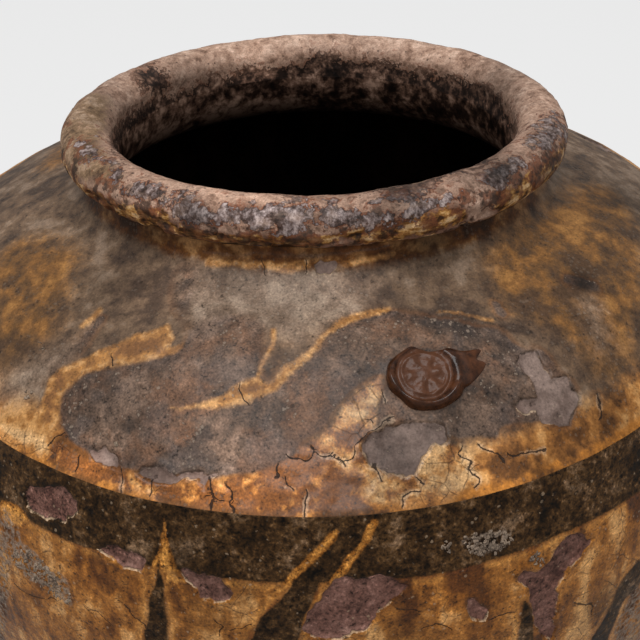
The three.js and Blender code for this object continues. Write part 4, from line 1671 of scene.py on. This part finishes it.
@dataclass(frozen=True)
class LipWear:
    """The patches on the lip, traced on the photograph."""

    scales: tuple[Outline, ...] = Outline.each(
        ((122, 192), (132, 183), (143, 181), (155, 184), (166, 192), (167, 198), (155, 201), (139, 200),
         (126, 196)),
        ((172, 204), (178, 195), (190, 194), (200, 203), (212, 206), (222, 202), (235, 205), (256, 202),
         (272, 204), (290, 205), (312, 207), (332, 206), (350, 209), (371, 207), (393, 207), (416, 202),
         (434, 199), (452, 194), (463, 190), (463, 198), (440, 208), (412, 215), (387, 222), (360, 227),
         (330, 229), (296, 229), (270, 228), (240, 228), (215, 224), (195, 223), (180, 216)),
        ((287, 199), (300, 195), (320, 196), (338, 198), (330, 203), (308, 202), (294, 204)),
        ((369, 202), (381, 195), (397, 193), (406, 187), (422, 186), (438, 187), (430, 193), (416, 197),
         (404, 199), (385, 205)),
        ((481, 173), (493, 167), (506, 161), (516, 159), (524, 163), (520, 171), (504, 181), (491, 183),
         (481, 177)),
        ((528, 140), (534, 131), (544, 132), (542, 118), (546, 114), (555, 116), (565, 128), (563, 138),
         (553, 142), (546, 155), (536, 161), (532, 151), (526, 146)),
        ((107, 163), (114, 161), (121, 170), (119, 177), (110, 173)),
        ((80, 142), (92, 140), (98, 150), (88, 156), (80, 150)),
    )
    bare: tuple[Outline, ...] = Outline.each(
        ((470, 186), (480, 180), (490, 184), (494, 200), (490, 214), (476, 216), (468, 204)),
        ((396, 203), (404, 200), (411, 203), (409, 209), (399, 210)),
        ((532, 150), (538, 143), (543, 148), (540, 158), (535, 160)),
    )
    amber: tuple[Outline, ...] = Outline.each(
        ((60, 158), (70, 172), (85, 186), (105, 196), (130, 204), (160, 211), (168, 222), (160, 233),
         (135, 228), (110, 216), (88, 204), (68, 190), (58, 172)),
        ((165, 224), (200, 230), (240, 236), (290, 239), (335, 236), (338, 244), (300, 252), (250, 250),
         (205, 243), (172, 234)),
        ((338, 236), (356, 228), (380, 224), (405, 217), (430, 210), (458, 203), (466, 208), (466, 222),
         (445, 230), (415, 237), (380, 243), (350, 247)),
        ((492, 200), (505, 190), (520, 178), (538, 166), (555, 150), (566, 136), (567, 150), (558, 170),
         (542, 187), (520, 202), (500, 212)),
    )
    warm: tuple[Outline, ...] = Outline.each(
        ((56, 160), (58, 130), (70, 108), (90, 93), (105, 98), (108, 118), (102, 140), (110, 158),
         (122, 172), (116, 185), (95, 185), (68, 178)),
    )
    # Spots of painted light and shade on the lip, which also set broad tone.
    shade_spots: tuple[ShadeSpot, ...] = ShadeSpot.each(
        (215, 192, 9.0, 0.4), (300, 198, 6.0, 0.15), (255, 195, 5.0, 0.2), (270, 216, 6.0, 0.6),
        (200, 212, 5.0, -0.6), (400, 195, 8.0, -0.55), (500, 172, 7.0, -0.75), (545, 145, 7.0, -0.35),
        (108, 100, 9.0, -0.4), (180, 72, 8.0, -0.3), (500, 84, 10.0, -0.55), (255, 78, 7.0, 1.3),
        (556, 172, 5.0, -0.4), (146, 208, 6.0, 0.4), (464, 178, 5.0, -0.35))
    blot: Outline = Outline((
        (138, 72), (150, 66), (160, 72), (166, 84), (160, 95), (148, 90), (142, 82)))
    stain: Outline = Outline((
        (116, 150), (116, 136), (125, 122), (138, 113), (150, 104), (160, 95), (172, 100), (185, 93),
        (200, 86), (215, 80), (232, 78), (250, 70), (265, 72), (285, 66), (300, 62), (318, 56), (345, 60),
        (372, 64), (398, 66), (420, 75), (445, 76), (472, 86), (494, 96), (505, 110), (512, 128),
        (508, 140), (500, 150), (480, 165), (440, 180), (380, 189), (320, 192), (260, 188), (200, 178),
        (150, 166), (125, 157)))


@dataclass
class Lip:
    """The rolled lip, worn to bare clay on its crown."""

    line: WallLine
    camera: PhotoCamera
    worn: LipWear = field(default_factory=LipWear)
    seat: float = 0.2773
    widest: float = 0.2838
    crown: float = 0.0068
    middle: float = 0.0700
    half: float = 0.0077
    neck: float = 0.0703
    row: float = 0.42 * MM
    wobble: Bumps = Bumps(0.5 * MM, 21, 34.0 * MM, 2)
    erosion: Bumps = Bumps(0.4 * MM, 22, 9.0 * MM, 3)
    pits: Bumps = Bumps(1.0, 23, 2.2 * MM, 2)
    pit_depth: float = 0.16 * MM
    scale_rise: float = 0.16 * MM
    peeling: Bumps = Bumps(1.0, 25, 7.0 * MM, 3)
    peel_depth: float = 0.9 * MM
    lap: float = 0.05 * MM
    pixel: float = 0.33
    margin: float = 40.0
    scale_start: float = 18.0
    amber_start: float = 29.0
    stain_end: float = 8.0
    patches: Bumps = Bumps(9.0, 24, 10.0 * MM, 3)
    columns: Array = field(default_factory=lambda: front_columns(70.0, 0.36, 0.72, 20.0))

    def profile(self) -> tuple[Array, Array, float]:
        """The lip's section, from its inner seat up over the crown and down to the neck.

        Returns:
            Points of the section, how far round it each is from 0 to 1, and its length.
        """
        arc = np.linspace(math.pi, 0.0, 60)
        over = np.stack([self.middle + self.half * np.cos(arc),
                         self.widest + self.crown * np.sin(arc)], axis=1)
        arc = np.linspace(0.0, math.pi / 2.0, 30)
        reach = self.middle + self.half - self.neck
        drop = self.widest - self.seat
        under = np.stack([self.neck + reach * np.cos(arc), self.widest - drop * np.sin(arc)], axis=1)
        rough = np.concatenate([[[self.middle - self.half, self.seat]], over, under[1:]])
        way = np.concatenate([[0.0], np.cumsum(np.linalg.norm(np.diff(rough, axis=0), axis=1))])
        even = np.linspace(0.0, way[-1], int(way[-1] / self.row))
        even = np.concatenate([even[:1], even[:1] + self.lap, even[1:-1], even[-1:] - self.lap, even[-1:]])
        points = np.stack([np.interp(even, way, rough[:, k]) for k in range(2)], axis=1)
        return points, even / way[-1], float(way[-1])

    def traced(self, shapes: Sequence[Outline], pixels: Array, seen: Array, hidden: Array) -> Array:
        """How far inside the nearest traced patch each point of the lip is.

        Args:
            shapes: The traced patches.
            pixels: Where the lip's points appear in the photograph.
            seen: Which points face the camera.
            hidden: Reaches for the points that don't.

        Returns:
            Millimetres, positive inside.
        """
        edges = [rounded(np.array(shape.points, float), True) for shape in shapes]
        reaches = [flat_reach(edge, pixels, self.margin, True)[0] for edge in edges]
        return np.where(seen, np.max(reaches, axis=0) * self.pixel, hidden)

    def shade(self, pixels: Array, seen: Array) -> Array:
        """How much lighter or darker the spots of painted light and shade make each point that the camera
        sees.
        """
        total = sum(smudge.lightens((pixels - smudge.pixel) * self.pixel) for smudge in self.worn.shade_spots)
        return np.where(seen, total, 0.0)

    def build(self) -> bpy.types.Object:
        """Builds the lip.

        Returns:
            The piece, dressed.
        """
        section, roll, length = self.profile()
        slope = np.gradient(section, axis=0)
        outward = np.stack([-slope[:, 1], slope[:, 0]], axis=1)
        outward /= np.linalg.norm(outward, axis=1)[:, None]
        azimuth = self.columns[None, :]
        turn = np.stack([np.sin(azimuth), -np.cos(azimuth)], axis=-1)

        def spun(steps: Array) -> Array:
            """Turns the section, moved outwards by some steps, about the axis."""
            radius = section[:, :1] + steps * outward[:, :1]
            height = section[:, 1:] + steps * outward[:, 1:]
            return np.concatenate([radius[..., None] * turn, height[..., None]], axis=-1)

        level = np.zeros((len(section), len(self.columns)))
        plain = self.line.lean(spun(level))
        normals = spun(level + 1.0) - spun(level)
        seen = ((self.camera.place - plain) * normals).sum(axis=-1) > 0.0
        pixels = self.camera.pixels(plain)
        round_way = roll[:, None] * length / MM + level
        patchy = self.patches.at(plain)
        bare = self.traced(self.worn.bare, pixels, seen, level + FAR_OUT)
        scaly = np.minimum(patchy - 1.2, round_way - self.scale_start)
        dark = np.minimum(self.traced(self.worn.scales, pixels, seen, scaly), -bare)
        runny = round_way - self.amber_start + 0.5 * patchy
        amber = np.minimum(self.traced(self.worn.amber, pixels, seen, runny), -bare)
        stained = [self.worn.stain, self.worn.blot]
        stain = self.traced(stained, pixels, seen, self.stain_end - round_way)
        warm = self.traced(self.worn.warm, pixels, seen, patchy - 1.0)
        layers = {Layer.ROLL: roll[:, None] + level, Layer.DARK: dark, Layer.GOLD: amber, Layer.HAZE: stain,
                  Layer.WARM: warm, Layer.SHADE: self.shade(pixels, seen)}
        free = ease(roll, 0.0, 0.1) * ease(roll, 1.0, 0.94)
        wear = self.wobble.at(plain) + self.erosion.at(plain)
        wear -= self.pit_depth * ease(self.pits.at(plain), 0.1, 0.5)
        wear += self.scale_rise * (ease(dark, -0.4, 0.4) - 0.5)
        outer = (ease(roll, 0.68, 0.76) * ease(roll, 0.97, 0.9))[:, None]
        wear -= self.peel_depth * outer * ease(self.peeling.at(plain), 0.0, 0.16)
        piece = turned_mesh("rim_roll", self.line.lean(spun(wear * free[:, None])), layers)
        piece.data.materials.append(LipFinish().make())
        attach(piece, BODY)
        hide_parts("rolled_rim")
        return piece


@dataclass
class Inside:
    """The dark glaze that lines the jar."""

    line: WallLine
    gap: float = 0.3 * MM
    thickness: float = 1.0 * MM
    taper: float = 8.0 * MM
    flare: float = 0.4 * MM
    lap: float = 0.05 * MM
    floor: float = 0.0113
    rows: int = 90
    columns: int = 120

    def build(self) -> bpy.types.Object:
        """Builds the liner.

        Returns:
            The piece, dressed.
        """
        azimuth = np.linspace(-math.pi, math.pi, self.columns, endpoint=False)
        depth = self.line.glaze + self.line.clay + self.gap
        ways = np.linspace(self.line.bottom, self.line.top + self.lap, self.rows)
        ways = np.concatenate([ways, [self.line.top]])
        turns, along = np.meshgrid(azimuth, ways)
        rise = ease(along, self.line.top + self.taper, self.line.top)
        outer = self.line.place(turns, along, self.flare * rise - depth)
        wall = self.thickness * (1.0 - 0.9 * rise)
        inner = self.line.place(turns, along, self.flare * rise - depth - wall)[::-1]
        outer[..., 2] = np.maximum(outer[..., 2], self.floor)
        inner[..., 2] = np.maximum(inner[..., 2], self.floor + self.thickness)
        low = np.array([0.0, 0.0, self.floor])
        high = np.array([0.0, 0.0, self.floor + self.thickness])
        piece = turned_mesh("liner_coat", np.concatenate([outer, inner]), poles=(low, high))
        piece.data.materials.append(LinerFinish().make(self.line.neck_top[1] / MM))
        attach(piece, BODY)
        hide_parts("liner_glaze")
        return piece


@dataclass
class Foot:
    """The flat unglazed disc that the jar stands on."""

    radius: float = 0.0870
    chamfer: float = 2.5 * MM
    height: float = 0.0110
    hollow: float = 0.6 * MM
    bumps: Bumps = Bumps(0.25 * MM, 31, 9.0 * MM, 3)
    columns: int = 200

    def build(self) -> bpy.types.Object:
        """Builds the foot disc.

        Returns:
            The piece, dressed.
        """
        turn = np.linspace(-math.pi, math.pi, self.columns, endpoint=False)
        section = [(self.radius * share, self.hollow * ease(np.array(share), 0.86, 0.7)) for share in
                   (0.1, 0.2, 0.35, 0.5, 0.62, 0.7, 0.74, 0.78, 0.82, 0.86, 0.9, 0.94)]
        section += [(self.radius - self.chamfer, 0.0), (self.radius - 0.3 * self.chamfer, 0.3 * self.chamfer)]
        section += [(self.radius, rise) for rise in (self.chamfer, 0.5 * self.height, 0.8 * self.height)]
        section += [(self.radius * share, self.height) for share in (1.0, 0.6, 0.2)]
        points = np.array([[(r * math.sin(a), -r * math.cos(a), z) for a in turn] for r, z in section], float)
        points[..., 2] += np.abs(self.bumps.at(points)) * (points[..., 2] < 0.5 * self.chamfer)
        low = np.array([0.0, 0.0, self.hollow])
        high = np.array([0.0, 0.0, self.height])
        piece = turned_mesh("foot_disc", points, poles=(low, high))
        piece.data.materials.append(FootFinish().make())
        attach(piece, BODY)
        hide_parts("base_disc")
        return piece


@dataclass
class WaxSeal:
    """A dab of wax on the shoulder, pressed with a worn stamp, with a bead below and a drip to the right."""

    line: WallLine
    camera: PhotoCamera
    outline: Outline = Outline((
        (386, 373), (388, 363), (395, 356), (404, 350), (410, 347), (419, 348), (430, 350), (442, 350),
        (448, 348), (463, 350), (481, 348), (477, 357), (486, 361), (481, 371), (471, 381), (465, 385),
        (461, 393), (450, 401), (438, 406), (422, 407), (410, 404), (400, 395), (390, 387), (387, 380)))
    middle: Pair = (424.0, 373.0)
    face_reach: Pair = (7.6, 7.0)
    thickness: float = 1.9
    face_depth: float = 1.0
    bead: float = 1.0
    petals: int = 6
    relief: float = 0.5
    rings: int = 64
    columns: int = 240
    sunk: float = 0.5
    under_step: int = 8
    wander: Bumps = Bumps(0.06, 41, 5.0 * MM, 2)
    rubbing: Bumps = Bumps(0.5, 42, 6.0 * MM, 2)
    roughness: Bumps = Bumps(0.16, 43, 1.5 * MM, 3)

    def edge(self, places: Array, turn: Array) -> Array:
        """How far the traced outline is from the seal's middle in each direction.

        Args:
            places: The outline, flat about the middle, in millimetres.
            turn: Directions.

        Returns:
            Reaches in millimetres.
        """
        angle = np.unwrap(np.arctan2(places[:, 1], places[:, 0]))
        reach = np.hypot(places[:, 0], places[:, 1])
        if angle[-1] < angle[0]:
            angle, reach = angle[::-1], reach[::-1]
        angle = np.concatenate([angle - 2 * math.pi, angle, angle + 2 * math.pi])
        return np.interp(turn, angle, np.tile(reach, 3))

    def build(self) -> bpy.types.Object:
        """Builds the seal.

        Returns:
            The piece, dressed.
        """
        traced = self.camera.on_wall(self.line, self.outline.points)
        middle = self.camera.on_wall(self.line, [self.middle])[0]
        flat = rounded(traced, True)
        across = (flat[:, 0] - middle[0]) * self.line.radius(flat[:, 1])
        places = np.stack([across, middle[1] - flat[:, 1]], axis=1) / MM
        turn = np.linspace(-math.pi, math.pi, self.columns, endpoint=False)
        reach = self.edge(places, turn)
        share = np.linspace(1.0 / self.rings, 1.0, self.rings)[:, None]
        right = share * reach * np.cos(turn)
        rise = share * reach * np.sin(turn)
        height, face = self.heights(right, rise, share)
        ways = middle[1] - rise * MM
        turns = middle[0] + right * MM / self.line.radius(ways)
        top = self.line.place(turns, ways, height * MM)
        below = slice(None, None, -self.under_step)
        under = self.line.place(turns[below], ways[below], -self.sunk * MM)
        peak = self.line.place(middle[:1], middle[1:], float(height[0].mean()) * MM)[0]
        base = self.line.place(middle[:1], middle[1:], -self.sunk * MM)[0]
        grid = np.concatenate([top, under])
        layers = {Layer.ROLL: np.concatenate([face, np.zeros(under.shape[:2])])}
        piece = turned_mesh("wax_dab", grid, layers, (peak, base))
        piece.data.materials.append(WaxFinish().make())
        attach(piece, BODY)
        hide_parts("wax_seal")
        return piece

    def heights(self, right: Array, rise: Array, share: Array) -> tuple[Array, Array]:
        """How high the wax stands, and how much of each point is stamped face.

        Args:
            right: Millimetres to the right of the middle.
            rise: Millimetres up the shoulder from the middle.
            share: Share of the way out to the edge.

        Returns:
            Heights in millimetres, and the share of the stamped face.
        """
        spots = np.stack([right, rise, np.zeros_like(right)], axis=-1) * MM
        around = np.hypot(right / self.face_reach[0], rise / self.face_reach[1])
        face = ease(around + self.wander.at(spots), 1.02, 0.84)
        turn = np.arctan2(rise, right)
        tail = ease(right, 8.5, 12.0)
        body = self.thickness * (1.0 - 0.55 * tail) * np.sqrt(np.clip(1.0 - share ** 5, 0.0, 1.0))
        low_side = ease(np.sin(turn + 0.35), 0.35, -0.5)
        bead = self.bead * low_side * (1.0 - tail) * np.exp(-((around - 1.12) / 0.13) ** 2) * (share < 0.995)
        flower = np.cos(self.petals * turn) * ease(around, 0.2, 0.45) * ease(around, 0.86, 0.6)
        ringed = np.exp(-((around - 0.72) / 0.06) ** 2) + np.exp(-(around / 0.16) ** 2)
        stamp = self.relief * (0.5 + self.rubbing.at(spots)) * (0.7 * flower + 0.8 * ringed)
        return body + bead - face * (self.face_depth - stamp - self.roughness.at(spots)) + 0.05, face


@dataclass
class Grit:
    """Crumbs of kiln grit stuck to a coat, scattered where the coat's grit layer says."""

    name: str
    density: float
    crumb: float
    seed: int
    smallest: tuple[float, float, float] = (0.35, 0.35, 0.25)
    largest: tuple[float, float, float] = (1.4, 1.4, 0.9)
    dents: Pair = (0.55, 0.9)

    def tree(self) -> bpy.types.NodeTree:
        """Builds the scatter.

        Returns:
            The node tree, with inputs for density, crumb size, seed and finish.
        """
        tree = bpy.data.node_groups.new(f"{self.name}_scatter", "GeometryNodeTree")
        inputs = {"Coat": "Geometry", "Crumbs per square metre": "Float", "Crumb size": "Float",
                  "Seed": "Int", "Finish": "Material"}
        for name, kind in inputs.items():
            tree.interface.new_socket(name, in_out="INPUT", socket_type=f"NodeSocket{kind}")
        tree.interface.new_socket("Crumbs", in_out="OUTPUT", socket_type="NodeSocketGeometry")
        nodes = Nodes(tree)
        given = nodes.node("NodeGroupInput", {}, {})
        layer = nodes.field("GeometryNodeInputNamedAttribute", {"data_type": "FLOAT"},
                            {"Name": Layer.GRIT.value})
        crowd = nodes.math("GREATER_THAN", layer, 0.0) * Field(nodes, given["Crumbs per square metre"])
        points = nodes.node("GeometryNodeDistributePointsOnFaces", {},
                            {"Mesh": given["Coat"], "Density": crowd, "Seed": given["Seed"]})
        crumb = nodes.node("GeometryNodeMeshIcoSphere", {}, {"Radius": 1.0, "Subdivisions": 2})
        sizes = nodes.node("FunctionNodeRandomValue", {"data_type": "FLOAT_VECTOR"},
                           {0: self.smallest, 1: self.largest, "Seed": given["Seed"]})
        scale = nodes.node("ShaderNodeVectorMath", {"operation": "SCALE"},
                           {0: sizes[0], "Scale": given["Crumb size"]})
        placed = nodes.node("GeometryNodeInstanceOnPoints", {},
                            {"Points": points["Points"], "Instance": crumb["Mesh"],
                             "Rotation": points["Rotation"], "Scale": scale[0]})
        real = nodes.node("GeometryNodeRealizeInstances", {}, {0: placed[0]})
        dressed = nodes.node("GeometryNodeSetMaterial", {},
                             {"Geometry": real[0], "Material": given["Finish"]})
        smooth = nodes.node("GeometryNodeSetShadeSmooth", {}, {0: dressed[0]})
        nodes.node("NodeGroupOutput", {}, {0: smooth[0]})
        return tree

    def build(self, coat: bpy.types.Object, finish: bpy.types.Material) -> bpy.types.Object:
        """Scatters crumbs over a coat.

        Args:
            coat: The coat that carries them.
            finish: Their material.

        Returns:
            The crumbs as one plain mesh.
        """
        tree = self.tree()
        carrier = added(f"{self.name}_carrier", coat.data)
        modifier = carrier.modifiers.new("scatter", "NODES")
        modifier.node_group = tree
        values = {"Crumbs per square metre": self.density, "Crumb size": self.crumb, "Seed": self.seed,
                  "Finish": finish}
        for item in tree.interface.items_tree:
            if item.in_out == "INPUT" and item.name in values:
                modifier[item.identifier] = values[item.name]
        graph = bpy.context.evaluated_depsgraph_get()
        mesh = bpy.data.meshes.new_from_object(carrier.evaluated_get(graph), depsgraph=graph)
        carrier.modifiers.remove(modifier)
        bpy.data.objects.remove(carrier)
        spots = np.empty(len(mesh.vertices) * 3)
        mesh.vertices.foreach_get("co", spots)
        spots = spots.reshape(-1, 3)
        depth, width = (self.crumb * share for share in self.dents)
        for axis in range(3):
            spots[:, axis] += depth * Grain(self.seed + axis).at(spots, width)
        mesh.vertices.foreach_set("co", spots.reshape(-1))
        mesh.name = self.name
        mesh.update()
        piece = added(self.name, mesh)
        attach(piece, BODY)
        return piece


@dataclass
class Studio:
    """A pale floor and soft light from above."""

    floor_size: float = 6.0
    grey: Colour = paint(235, 235, 235)
    white: Colour = paint(255, 255, 255)
    flat_share: float = 0.85
    dim: float = 0.3
    glow: float = 1.06
    world: float = 0.32
    key_power: float = 15.5
    key_size: float = 1.2
    key_place: tuple[float, float, float] = (-0.12, -0.3, 1.5)
    key_aim: tuple[float, float, float] = (0.0, 0.0, 0.24)

    def floor(self) -> None:
        """Lays the floor, which keeps the jar's shadow."""
        half = self.floor_size / 2.0
        corners = [(-half, -half, 0.0), (half, -half, 0.0), (half, half, 0.0), (-half, half, 0.0)]
        mesh = bpy.data.meshes.new("floor")
        mesh.from_pydata(corners, [], [(0, 1, 2, 3)])
        floor = added("floor", mesh)
        bench = Bench("pale_floor")
        paths = bench.node("ShaderNodeLightPath", {}, {})
        plain = bench.node("ShaderNodeBsdfDiffuse", {}, {"Color": self.grey})
        glow = bench.node("ShaderNodeEmission", {}, {"Color": self.grey, "Strength": self.glow})
        shade = bench.node("ShaderNodeEmission", {}, {"Color": self.grey, "Strength": self.dim})
        share = Field(bench, paths["Is Camera Ray"]) * self.flat_share
        seen = bench.node("ShaderNodeMixShader", {}, {0: share, 1: plain[0], 2: glow[0]})
        mirrored = bench.node("ShaderNodeMixShader", {}, {0: paths["Is Glossy Ray"], 1: seen[0], 2: shade[0]})
        bench.node("ShaderNodeOutputMaterial", {}, {"Surface": mirrored[0]})
        mesh.materials.append(bench.material)

    def light(self) -> None:
        """Sets the soft light all round and the large soft lamp above."""
        world = bpy.data.worlds.new("studio_air")
        world.use_nodes = True
        air = Nodes(world.node_tree)
        paths = air.node("ShaderNodeLightPath", {}, {})
        fill = air.node("ShaderNodeBackground", {}, {0: self.white, 1: self.world})
        backdrop = air.node("ShaderNodeBackground", {}, {0: self.grey, 1: 1.0})
        mixed = air.node("ShaderNodeMixShader", {}, {0: paths["Is Camera Ray"], 1: fill[0], 2: backdrop[0]})
        air.node("ShaderNodeOutputWorld", {}, {"Surface": mixed[0]})
        bpy.context.scene.world = world
        data = bpy.data.lights.new("soft_key", "AREA")
        data.shape = "DISK"
        data.size = self.key_size
        data.energy = self.key_power
        away = np.subtract(self.key_place, self.key_aim)
        away /= np.linalg.norm(away)
        side = np.cross([0.0, 1.0, 0.0], away)
        side /= np.linalg.norm(side)
        added("soft_key", data).matrix_world = posed(side, np.cross(away, side), away, self.key_place)

    def set_up(self, camera: PhotoCamera) -> None:
        """Sets the floor, the light, the camera and the view."""
        self.floor()
        self.light()
        camera.add()
        bpy.context.scene.view_settings.view_transform = "Standard"


def main() -> None:
    """Builds and dresses the jar in order, and reports each piece."""
    logging.basicConfig(level=logging.INFO, format="%(message)s")
    line = WallLine()
    camera = PhotoCamera()
    Studio().set_up(camera)
    coats = Coats(line, camera)
    shoulder = coats.build_shoulder()
    wall = coats.build_wall()
    grit = CrustFinish().make()
    pieces = [shoulder, wall, Lip(line, camera).build(), Inside(line).build(), Foot().build(),
              WaxSeal(line, camera).build(),
              Grit("band_grit", 1300000.0, 0.42 * MM, 3).build(wall, grit),
              Grit("shoulder_grit", 500000.0, 0.5 * MM, 4).build(shoulder, grit)]
    for piece in pieces:
        faces = sum(len(face.vertices) - 2 for face in piece.data.polygons)
        LOG.info("%s: %d triangles", piece.name, faces)


if __name__ == "__main__":
    main()
